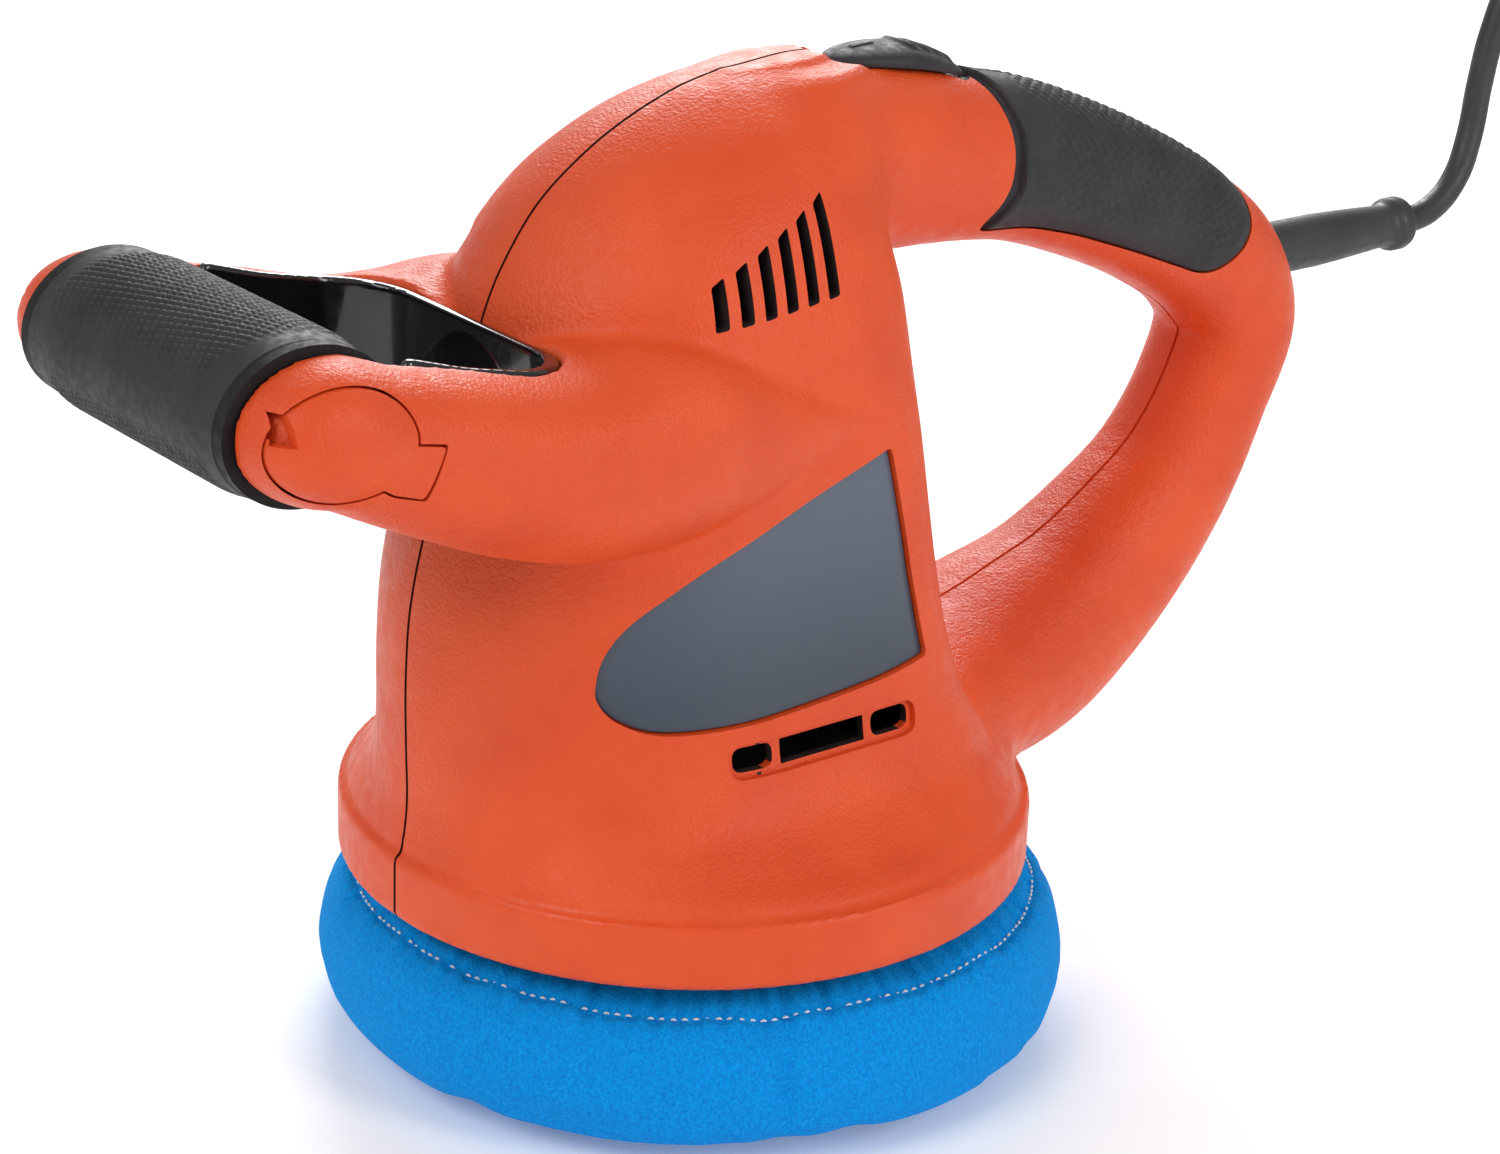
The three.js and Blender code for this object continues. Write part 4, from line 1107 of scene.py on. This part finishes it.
def half_tools(housing):
    """What is cut out of both halves, drawn on the right-hand one."""
    vents, recess = vent_tools()
    badge = prism("badge_pocket", badge_outline(0), 20, 80)
    grip = prism("grip_pocket", rounded(GRIP_OUTLINE, GRIP_CORNER, 6), -5, 80)
    housing.pocket(grip, GRIP_POCKET)
    cut(grip, surface("body_room", housing.grid, housing.body))
    low, high = SKIRT_BOTTOM + DATUM - 5, SKIRT_TOP + DATUM - 1.2
    relief_hole = turned("relief_hole", [(0, 150), (6.6, 150), (6.6, 192), (0, 192)], 64)
    return [
        housing.hollow(),
        turned("skirt_room", [(0, low), (SKIRT_ROOM, low), (SKIRT_ROOM, high), (0, high)], 128),
        *vents,
        housing.pocket(recess, RECESS_DEPTH),
        housing.pocket(badge, BADGE_POCKET),
        grip,
        housing.pocket(cap_outline_prism("cap_pocket", CAP_GAP, 35, 60), CAP_POCKET, whole=True),
        housing.pocket(prism("notch_pocket", CAP_NOTCH, 35, 60), NOTCH_POCKET, whole=True),
        rod_x("arm_bore", 4.9, 45, 56, GRIP_Y, GRIP_Z),
        rod_x("arm_hole", 2.4, 30, 46, GRIP_Y, GRIP_Z),
        along_y(relief_hole, RELIEF_Z + DATUM),
        *switch_track(),
    ]


def badge_outline(inset):
    """The badge's outline, moved in: a straight back edge and a long rounded nose."""
    nose = [tuple(p) for p in spline(BADGE_NOSE, 60)]
    return moved_in(rounded([BADGE_BACK] + nose, 1.6, 4), inset)


def parting_groove(housing):
    """A narrow groove where the two halves meet."""
    half_width, depth = GROOVE
    strip = block("groove", (-1, -150, 20), (half_width, 200, 230))
    return cut(strip, housing.skin(depth, whole=True))


def build_housing(housing):
    """Both halves, with screw bosses and wells in the left one."""
    right = surface("housing_right_shell", housing.grid, housing.whole)
    keep_inside(right, block("near", (SPLIT, -200, -10), (120, 260, 260)))
    cut(right, *half_tools(housing), parting_groove(housing))
    left = mirror(copy_of(right, "housing_left_shell"))
    inside = mirror(housing.skin(0.6))
    for y, z in SCREW_PLACES:
        boss = rod_x("boss", 6, -60, -SPLIT, y, z)
        join(left, keep_inside(boss, copy_of(inside, "room")))
    bpy.data.objects.remove(inside, do_unlink=True)
    for y, z in SCREW_PLACES:
        cut(left, rod_x("well", 4, -80, SCREW_HEAD_X, y, z))
    for half, node in ((right, "housing_right"), (left, "housing_left")):
        piece(smooth(half), "housing", "housing", (node,), [INSIDE_PAINTED_SHADE])
        paint_shade_inside(half, housing)


def for_both_sides(right, name, node, slot, extra=()):
    """Makes a shape on the right-hand flank a piece, and its mirror image on the left another."""
    right.name = f"{name}_right"
    left = mirror(copy_of(right, f"{name}_left"))
    for side, made in (("right", right), ("left", left)):
        piece(made, "housing", slot, (f"{node}_{side}",), extra)


def build_badges(housing):
    panel = prism("panel", badge_outline(BADGE_GAP), 20, 80)
    face, under = BADGE_SKINS
    keep_inside(panel, housing.skin(face))
    cut(panel, housing.skin(under))
    for_both_sides(smooth(panel), "badge", "badge_panel", "badge")


def build_arm_caps(housing):
    """The slightly bulging covers at the arms' round ends, each with a pry notch in front."""
    grid = Grid((40, -140, 140), (56, -92, 176), VOXEL / 2)
    whole = smooth_join(arm_field(grid), body_field(grid), 4)
    along, up = grid.y - CAP_MIDDLE[0], grid.z - CAP_MIDDLE[1]
    reach = oval(along / CAP_OVAL[0], up / CAP_OVAL[1], 2)
    bulge = CAP_BULGE * np.maximum(1 - reach**2.5, 0) - 0.15
    cap = cap_outline_prism("cap", 0, 35, 60)
    keep_inside(cap, surface("top", grid, whole - bulge))
    cut(cap, housing.skin(CAP_UNDER, whole=True), prism("notch", CAP_NOTCH, 30, 60))
    for_both_sides(smooth(cap), "arm_cap_cover", "arm_cap", "housing")


# ---- Grips and liner ----
GRIP_HALF = (19.0, 16.0)  # half depth and half height of the front grip's section
GRIP_BORE = (14.0, 11.0)
SLEEVE_RUN = 34.2  # where the grip's sleeve ends and its collar starts, from the middle
UPPER_PATCH = (0.42, 0.75, 2.5, 2.8)  # angles where raised dashes begin, are full, fade and end
LOWER_PATCH = (0.2, 0.5, 1.6, 1.9)
DASH_HEIGHT = 0.36
DASH_PITCH = 2.2
DASH_ROW = 1.5
REAR_CROWN = 0.55  # how much the rear grip rises from its edge
REAR_BAND = (1.7, 3.1)  # depth and width of the sunk band at its front, coloured as dark rubber with painted shade
REAR_PITCH = 2.9
REAR_RELIEF = 0.34
ROUND_RADIUS = 17.0  # turns angles round a grip into millimetres
LINER_WALL = 2.3
LINER_GAP = 0.2
LINER_OUTLINE = [  # y and z of the liner's side view
    (-97.5, 134.5), (-84, 128), (-70, 123.5), (-40, 118), (-40, 156), (-57, 158.4), (-70, 160.2),
    (-83, 163), (-97.5, 167.5),
]


def lattice(u, v, pitch):
    """Raised diamonds between two families of crossing grooves."""
    across = np.abs(np.sin(np.pi * (u + v) / pitch))
    back = np.abs(np.sin(np.pi * (u - v) / pitch))
    return ramp(across, 0.12, 0.55) * ramp(back, 0.12, 0.55)


def handle_coordinates(grid):
    """Along the handle and round it, in millimetres."""
    path = spline(HANDLE_STATIONS, 1500)[:, :2]
    steps = np.linalg.norm(np.diff(path, axis=0), axis=1)
    along = np.concatenate([[0], np.cumsum(steps)])
    away, (run, row_y, row_z) = grid.nearest(np.column_stack([path, along, path]))
    above = (grid.z - row_z) + 0.45 * (grid.y - row_y)
    angle = np.arctan2(grid.x, away * np.sign(above))
    return run, angle * ROUND_RADIUS, angle


def build_rear_grips():
    """Rubber covers on both flanks of the handle: a crossed lattice behind a plain sunk band, coloured
    as dark rubber with painted shade.
    """
    grid = Grid((-3, 50, 134), (22, 153, 200), 0.45)
    shell = smooth_join(body_field(grid), handle_field(grid), HANDLE_BLEND)
    edge = outline_distance(grid.y, grid.z, rounded(GRIP_OUTLINE, GRIP_CORNER, 6))
    front = path_distance(grid.y, grid.z, GRIP_FRONT)
    run, around, angle = handle_coordinates(grid)
    band_depth, band_width = REAR_BAND
    crown = 0.15 + REAR_CROWN * ramp(-edge, 0.5, 4)
    band = band_depth * (1 - ramp(front, 2.4, 3.4))
    patch = ramp(-edge, 4, 8) * ramp(np.abs(angle), 0.0, 0.05) * ramp(front, 8, 14)
    texture = REAR_RELIEF * patch * lattice(run, around, REAR_PITCH)
    top = shell - crown + band - texture
    grip = smooth_cut(np.maximum(edge + 0.35, -grid.x + 0.08), -top, 0.9)
    grip = np.maximum(grip, -(shell + GRIP_POCKET - 0.25))
    cover = smooth(surface("cover", grid, grip), 50)
    _, y, z = face_middles(cover)
    # the sunk band takes the black material: dark rubber, and painted shade in the groove
    use_second_material(cover, path_distance(y, z, GRIP_FRONT) < band_width)
    for_both_sides(cover, "rear_grip_cover", "rear_grip", "grip_rubber", [BLACK_COLLAR_AND_BAND_SHADE])


def front_grip_radius(x, angle):
    """How far the grip's skin stands out at x and round its section; 0 is to the front."""
    run = np.abs(x)
    swell = 0.55 * ramp(SLEEVE_RUN - run, 0, 9) - 0.5
    collar = np.where(run > SLEEVE_RUN, -0.15, 0.0)
    upper, lower = (
        ramp(turn, begins, full) * (1 - ramp(turn, fades, ends))
        for turn, (begins, full, fades, ends) in ((angle, UPPER_PATCH), (-angle, LOWER_PATCH))
    )
    wave = 3.5 * np.sin(angle * 1.7 + 0.6)
    patch = np.maximum(upper, lower) * ramp(31 - np.abs(x + wave * 0.3), 0, 5)
    around = angle * ROUND_RADIUS
    dash = ramp(np.abs(np.sin(np.pi * (x + 0.55 * around) / DASH_PITCH)), 0.2, 0.7)
    row = ramp(np.abs(np.sin(np.pi * (around - 0.25 * x) / DASH_ROW)), 0.2, 0.7)
    return swell + collar + DASH_HEIGHT * patch * dash * row


def build_front_grip():
    """The bar's rubber sleeve: two patches of raised dashes, and a black collar at each end."""
    half_length = ARM_INNER - 0.25
    count_x, count_round = ((230, 330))
    xs = np.linspace(-half_length, half_length, count_x)
    angles = np.linspace(-np.pi, np.pi, count_round, endpoint=False)
    rings = []
    for x in xs:
        rise = front_grip_radius(x, angles)
        y = GRIP_Y - (GRIP_HALF[0] + rise) * np.cos(angles)
        z = GRIP_Z + DATUM + (GRIP_HALF[1] + rise) * np.sin(angles)
        rings.append(list(zip([x] * count_round, y, z)))
    sleeve = loft("front_grip_sleeve", rings)
    bore = oval_outline((GRIP_Y, GRIP_Z), GRIP_BORE, count_round)
    cut(sleeve, prism("bore", bore, -1.1 * half_length, 1.1 * half_length))
    piece(smooth(sleeve, 50), "housing", "grip_rubber", ("front_grip",), [BLACK_COLLAR_AND_BAND_SHADE])
    use_second_material(sleeve, np.abs(face_middles(sleeve)[0]) > SLEEVE_RUN - 0.1)


def build_liner():
    """A thin glossy wall round the sides and the back of the finger opening."""
    grid = Grid((-40, -102, 112), (40, -50, 172), 0.6)
    body = body_field(grid)
    edge = outline_distance(grid.y, grid.z, rounded(LINER_OUTLINE, 3, 5))
    outer, finger = (
        np.maximum(opening_field(grid, ARM_INNER - inset, OPENING_BACK - inset), -(body - inset))
        for inset in (LINER_GAP, LINER_GAP + LINER_WALL)
    )
    wall = smooth_cut(outer, finger, 0.5)
    liner = smooth_cut(wall, -edge, 0.8)
    made = smooth(surface("opening_liner_wall", grid, liner), 45)
    piece(made, "housing", "housing_liner", ("opening_liner",))


# ---- Switch cap ----
CAP_RIDGES = (4, 3.4, -0.6)  # how many, their pitch, and where the first one is
RIDGE_HEIGHT = 0.85
ON_MARK = (-9.5, 3.0, 0.95, 0.4)  # place along, half length, half width, height


def cap_height(along, across):
    """The cap's rise above its bed, from -1 to 1 along and across."""
    reach = np.minimum(np.hypot(along, across), 1)
    dome = np.sqrt(np.maximum(1 - reach**2.2, 0)) ** 0.9
    hump = 0.78 + 0.22 * np.exp(-((along - 0.05) / 0.5) ** 2)
    half_length, half_width, rise = SWITCH_CAP[0] / 2, SWITCH_CAP[1] / 2, SWITCH_CAP[2]
    s, t = along * half_length, across * half_width
    top = rise * 0.83 * dome * hump
    fade = ramp(6.4 - np.abs(t), 0, 2.2)
    count, pitch, first = CAP_RIDGES
    for i in range(count):
        middle = first + pitch * i + 0.055 * t**2
        top = top + RIDGE_HEIGHT * fade * np.exp(-((s - middle) / 0.95) ** 2)
    at, long, wide, high = ON_MARK
    bar = ramp(long - np.abs(s - at), 0, 0.5) * ramp(wide - np.abs(t), 0, 0.4)
    return top + high * bar


def build_switch_cap():
    """An oval cap with an on mark and four thumb ridges, which slides on an arc."""
    rings, sides = ((70, 200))
    angles = [2 * math.pi * k / sides for k in range(sides)]
    half_length, half_width = SWITCH_CAP[0] / 2, SWITCH_CAP[1] / 2
    base = SLIDE_RADIUS + 0.4

    def place(along, across, height):
        angle = SLIDE_ANGLE + along * half_length / SLIDE_RADIUS
        radius = base + height
        y = SLIDE_CENTRE[0] + radius * math.sin(angle)
        return (across * half_width, y, SLIDE_CENTRE[1] + radius * math.cos(angle) + DATUM)

    made = [[place(0.985 * math.sin(a), 0.985 * math.cos(a), 0) for a in angles]]
    for k in range(rings):
        reach = 1 - (k / rings) ** 1.4
        ring = []
        for a in angles:
            along, across = reach * math.sin(a), reach * math.cos(a)
            ring.append(place(along, across, 0.55 + 0.9 * float(cap_height(along, across))))
        made.append(ring)
    cap = loft("switch_slider", made)
    stem = prism("stem", slide_outline(
        SLIDE_RADIUS - 6, SLIDE_RADIUS + 1, SLIDE_ANGLE - STEM_ANGLE, SLIDE_ANGLE + STEM_ANGLE,
    ), -2, 2)
    join(cap, stem)
    piece(smooth(cap, 55), "switch", "grip_rubber", ("switch_cap",))


# ---- Screws ----
def build_screws():
    """Pan-head thread-forming screws with a cross recess, one per well."""
    head = [(0, -3), (2.4, -3), (3.3, -2.4), (3.6, -1.6), (3.6, -0.3), (1.75, -0.3)]
    profile = [(radius, SCREW_HEAD_X + along) for radius, along in head]
    at = SCREW_HEAD_X + 6
    while at < 12.5:
        profile += [(1.35, at), (1.8, at + 0.5), (1.35, at + 1.0)]
        at += 1.3
    profile += [(1.0, 13.4), (0, 14)]
    screw = turned("screw", profile, 40)
    recess = loft("recess", [
        [(x, y, z) for x, y in rounded_section(size, size, 3.0, 40)]
        for z, size in ((SCREW_HEAD_X - 3.2, 2.2), (SCREW_HEAD_X - 1.0, 1.2))
    ])
    cut(screw, recess)
    screw.data.transform(Matrix(((0, 0, 1, 0), (0, 1, 0, 0), (-1, 0, 0, 0), (0, 0, 0, 1))))
    for i, (y, z) in enumerate(SCREW_PLACES):
        made = copy_of(screw, f"case_screw_{i + 1}")
        made.data.transform(Matrix.Translation((0, y * MM, (z + DATUM) * MM)))
        piece(smooth(made), "housing", "steel", (f"clamshell_screw_{i + 1}",))
    bpy.data.objects.remove(screw, do_unlink=True)


# ---- Pad: bonnet, foam and elastic, all about the pad's own axis ----
BONNET_SKIN = [  # radius, height
    (0, 0.4), (75, 0.4), (80.9, 2.2), (82.6, 8), (82.7, 15), (81.4, 24), (78, 32.6), (73, 38),
    (66, 39.6), (60.5, 38.4), (57, 34.5), (0, 33.5),
]
FOAM_ROOM = [  # the hollow in the bonnet, open at the top inside the hem
    (0, 4.1), (70.2, 4.1), (74.6, 7), (76.8, 11.5), (76.8, 20), (75.4, 25.6), (72.4, 29.6),
    (68, 31.9), (63.2, 32.9), (60.6, 33.3), (60.6, 66), (0, 66),
]
FOAM_PROFILE = [
    (0, 4.4), (8, 4.4), (69.5, 4.4), (73, 5.6), (76, 10.5), (76.2, 18), (74.8, 24.6), (71.6, 28.8),
    (67, 30.3), (40, 30.4), (8, 30.5), (0, 30.5),
]
FOAM_BORE = 8.2
ELASTIC_RADIUS = 59.0
ELASTIC_HALF = 1.25
PAD_AXIS = (0.0, ORBIT)
BONNET_RADIUS = 82.7
BONNET_TOP = 39.8
HEM_RADIUS = 61.0
PUFF = 6.0  # most that the cloth may swell, in millimetres
HEM_LOW = 27.0  # the hem's cloth is all above this
STITCH_RADIUS = 74.4
SEAM_FRONT = math.radians(-39)  # the direction in which the seam is nearest the hem
STITCHES = 200
THREAD_HALF = 0.26


def rows_of(mesh):
    """A mesh's points as rows of x, y and z."""
    co = np.empty(len(mesh.vertices) * 3)
    mesh.vertices.foreach_get("co", co)
    return co.reshape(-1, 3)


def set_rows(mesh, rows):
    mesh.vertices.foreach_set("co", rows.reshape(-1))
    mesh.update()


def puff(thing):
    """Blows the closed cloth up a little, as a cover over springy foam."""
    remesh = thing.modifiers.new("remesh", "REMESH")
    remesh.mode = "VOXEL"
    remesh.voxel_size = 0.005
    bake_modifiers(thing)
    before = rows_of(thing.data)
    cloth = thing.modifiers.new("cloth", "CLOTH")
    cloth.settings.use_pressure = True
    cloth.settings.uniform_pressure_force = 4
    cloth.settings.quality = 6
    cloth.settings.effector_weights.gravity = 0
    cloth.point_cache.frame_end = 20
    scene = bpy.context.scene
    for frame_number in range(1, 21):
        scene.frame_set(frame_number)
    bake_modifiers(thing)
    scene.frame_set(1)
    move = rows_of(thing.data) - before
    length = np.linalg.norm(move, axis=1, keepdims=True)
    set_rows(thing.data, before + move * np.minimum(1, PUFF * MM / np.maximum(length, 1e-9)))
    return thing


def refine_hem(thing):
    """Halves the mesh's spacing on top, where the gathers are."""
    work = bmesh.new()
    work.from_mesh(thing.data)
    in_hem = {
        v for v in work.verts
        if v.co.z > HEM_LOW * MM and math.hypot(v.co.x, v.co.y - PAD_AXIS[1] * MM) > 58 * MM
    }
    edges = [e for e in work.edges if e.verts[0] in in_hem and e.verts[1] in in_hem]
    bmesh.ops.subdivide_edges(work, edges=edges, cuts=1, use_grid_fill=True)
    work.to_mesh(thing.data)
    work.free()
    return thing


def seam_radius(angle):
    """The stitched seam runs a little nearer the hem in front than behind."""
    return STITCH_RADIUS - 1.5 * np.cos(angle - SEAM_FRONT)


def subdivide(thing, levels):
    step = thing.modifiers.new("fine", "SUBSURF")
    step.levels = step.render_levels = levels
    return bake_modifiers(thing)


# Sewn-in folds: direction in degrees, width in radians, depth.
DARTS = [(-24, 0.022, 1.6), (-150, 0.03, 1.0), (62, 0.03, 1.2), (118, 0.03, 1.0)]
# The gathers: folds in the whole turn, and how much each row of them counts.
GATHERS = [(13, 0.3), (29, 0.4), (67, 0.5), (101, 0.55)]


def settled(rows):
    """The puffed cover brought back to its real width and height, and pressed flat below."""
    x, y, z = rows[:, 0] - PAD_AXIS[0], rows[:, 1] - PAD_AXIS[1], rows[:, 2]
    radius, angle = np.hypot(x, y), np.arctan2(y, x)
    radius = radius * (BONNET_RADIUS - 0.5) / radius.max()
    z = (z - z.min()) * BONNET_TOP / (z.max() - z.min())
    z = np.where(z < 2.0, np.maximum(0.2, z * z / 2), z)
    return radius, angle, z


def wrinkle_bonnet(thing):
    """Gathers that deepen towards the hem, darts in the seam, and a flat working face."""
    radius, angle, z = settled(rows_of(thing.data) / MM)
    upper = ramp(z, 25, 35) * ramp(radius, HEM_RADIUS - 2, HEM_RADIUS + 6)
    folds = np.zeros_like(radius)
    chance = np.random.default_rng(7)
    for count, share in GATHERS:
        shift = chance.uniform(0, 6.28) + 0.9 * np.sin(3 * angle + count)
        folds += share * np.sin(count * angle + shift)
    away = radius - seam_radius(angle)
    gathered = 1 - 0.75 * ramp(away, 0, 5)
    seam = np.exp(-(away / 1.2) ** 2) * ramp(z, 28, 33)
    z = z + upper * gathered * np.minimum(0.75 * folds - 0.4, 0.4) - 0.9 * seam
    radius = radius + 0.3 * upper * folds * ramp(radius, 70, 80)
    for degrees, width, depth in DARTS:
        away = np.angle(np.exp(1j * (angle - math.radians(degrees))))
        dart = depth * np.exp(-(away / width) ** 2)
        radius = radius - dart * ramp(z, 6, 18) * ramp(radius, 66, 78)
        z = z - 0.4 * dart * ramp(z, 28, 35)
    sag = 0.3 * np.sin(5 * angle + 0.8) + 0.2 * np.sin(9 * angle + 2)
    radius = np.minimum(radius + sag * ramp(radius, 70, 80), BONNET_RADIUS)
    z = np.minimum(z, BONNET_TOP)
    x, y = radius * np.cos(angle) + PAD_AXIS[0], radius * np.sin(angle) + PAD_AXIS[1]
    set_rows(thing.data, np.stack([x, y, z], 1) * MM)
    return thing


def build_bonnet():
    """The cloth cover: swollen by simulation, then gathered, then hollowed for the foam."""
    cover = puff(turned("bonnet_cover", BONNET_SKIN, 96, PAD_AXIS))
    subdivide(cover, 2)
    refine_hem(cover)
    wrinkle_bonnet(cover)
    cut(cover, turned("foam_room", FOAM_ROOM, 128, PAD_AXIS))
    piece(smooth(cover, 60), "pad", "bonnet_cloth", ("bonnet",))
    return cover


def round_pad(radius, turn, height):
    """The point at a radius and an angle about the pad's axis."""
    x, y = PAD_AXIS
    return (x + radius * math.cos(turn), y + radius * math.sin(turn), height)


def build_foam():
    foam = turned("foam_disc", FOAM_PROFILE, 128, PAD_AXIS)
    cut(foam, turned("bore", [(0, 0), (FOAM_BORE, 0), (FOAM_BORE, 40), (0, 40)], 64, PAD_AXIS))
    piece(smooth(foam, 50), "pad", "foam", ("foam_pad",))


def build_elastic():
    """A round elastic in the hem, puckered by its stitches."""
    rings = []
    count, sides = 240, 14
    for k in range(count):
        turn = 2 * math.pi * k / count
        thick = ELASTIC_HALF + 0.22 * math.sin(60 * turn)
        section = oval_outline((ELASTIC_RADIUS, 29 + DATUM), (thick, thick), sides)
        rings.append([round_pad(radius, turn, height) for radius, height in section])
    elastic = ring_tube("hem_elastic", rings)
    piece(smooth(elastic), "pad", "elastic", ("bonnet_elastic",))


def seam_heights(cover, count):
    """The cloth's height along the seam, at even steps round it, smoothed over a few stitches."""
    rows = rows_of(cover.data) / MM
    x, y = rows[:, 0] - PAD_AXIS[0], rows[:, 1] - PAD_AXIS[1]
    angle = np.arctan2(y, x)
    near = (np.abs(np.hypot(x, y) - seam_radius(angle)) < 1.0) & (rows[:, 2] > HEM_LOW)
    slot_of = ((angle[near] + np.pi) / (2 * np.pi) * count).astype(int) % count
    total = np.bincount(slot_of, rows[near, 2], count)
    seen = np.bincount(slot_of, minlength=count)
    heights = np.where(seen > 0, total / np.maximum(seen, 1), BONNET_TOP - 2)
    spread = np.array([1, 2, 3, 2, 1]) / 9
    return np.convolve(np.concatenate([heights[-2:], heights, heights[:2]]), spread, "valid")


def build_stitches(cover):
    """A run of fine white stitches along the hem's seam, sunk a little into the pile."""
    steps, sides = 6, 6
    pitch = 2 * math.pi / STITCHES
    points, faces = [], []
    for k, height in enumerate(seam_heights(cover, STITCHES)):
        first = len(points)
        for i in range(steps):
            at = -math.pi + pitch * (k + 0.6 * i / (steps - 1))
            arch = math.sin(math.pi * (i + 0.6) / (steps + 0.2))
            thick = THREAD_HALF * arch
            middle = (float(seam_radius(at)), height - 0.1 + 0.3 * arch)
            for radius, rise in oval_outline(middle, (1.3 * thick, thick), sides):
                points.append(round_pad(radius, at, min(rise, BONNET_TOP)))
        faces += tube_faces(steps, sides, first) + end_faces(steps, sides, first)
    stitches = outward(new_object("hem_stitches", mesh_from("hem_stitches", points, faces)))
    stitches.data.materials.append(THREAD)
    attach(stitches, "pad")


# ---- The solids that keep their shape, with a finish each ----
KEPT_NODES = {
    "steel": ("arm_screw_left", "arm_screw_right", "lower_bearing", "upper_bearing", "motor_shaft",
              "pad_bearing", "pad_spindle", "pad_bolt"),
    "iron": ("field_core", "armature_core", "eccentric_weight"),
    "copper": ("field_coil_front", "field_coil_back", "armature_winding_lower",
               "armature_winding_upper", "commutator"),
    "brass": ("brush_holder_left", "brush_holder_right"),
    "carbon": ("carbon_brush_left", "carbon_brush_right"),
    "black_plastic": ("front_grip_core", "bearing_plate", "bearing_bracket", "air_baffle",
                      "cooling_fan", "backing_plate", "switch_module", "cord_clamp"),
}


def finish_kept_nodes():
    for slot, names in KEPT_NODES.items():
        for name in names:
            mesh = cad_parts[name].data
            mesh.materials.clear()
            mesh.materials.append(MATERIALS[slot])


def main():
    aim_camera()
    build_studio()
    build_cord([strain_relief(), *plug()])
    housing = Housing()
    build_housing(housing)
    build_badges(housing)
    build_arm_caps(housing)
    build_rear_grips()
    build_front_grip()
    build_liner()
    build_switch_cap()
    build_screws()
    cover = build_bonnet()
    build_foam()
    build_elastic()
    build_stitches(cover)
    finish_kept_nodes()


main()
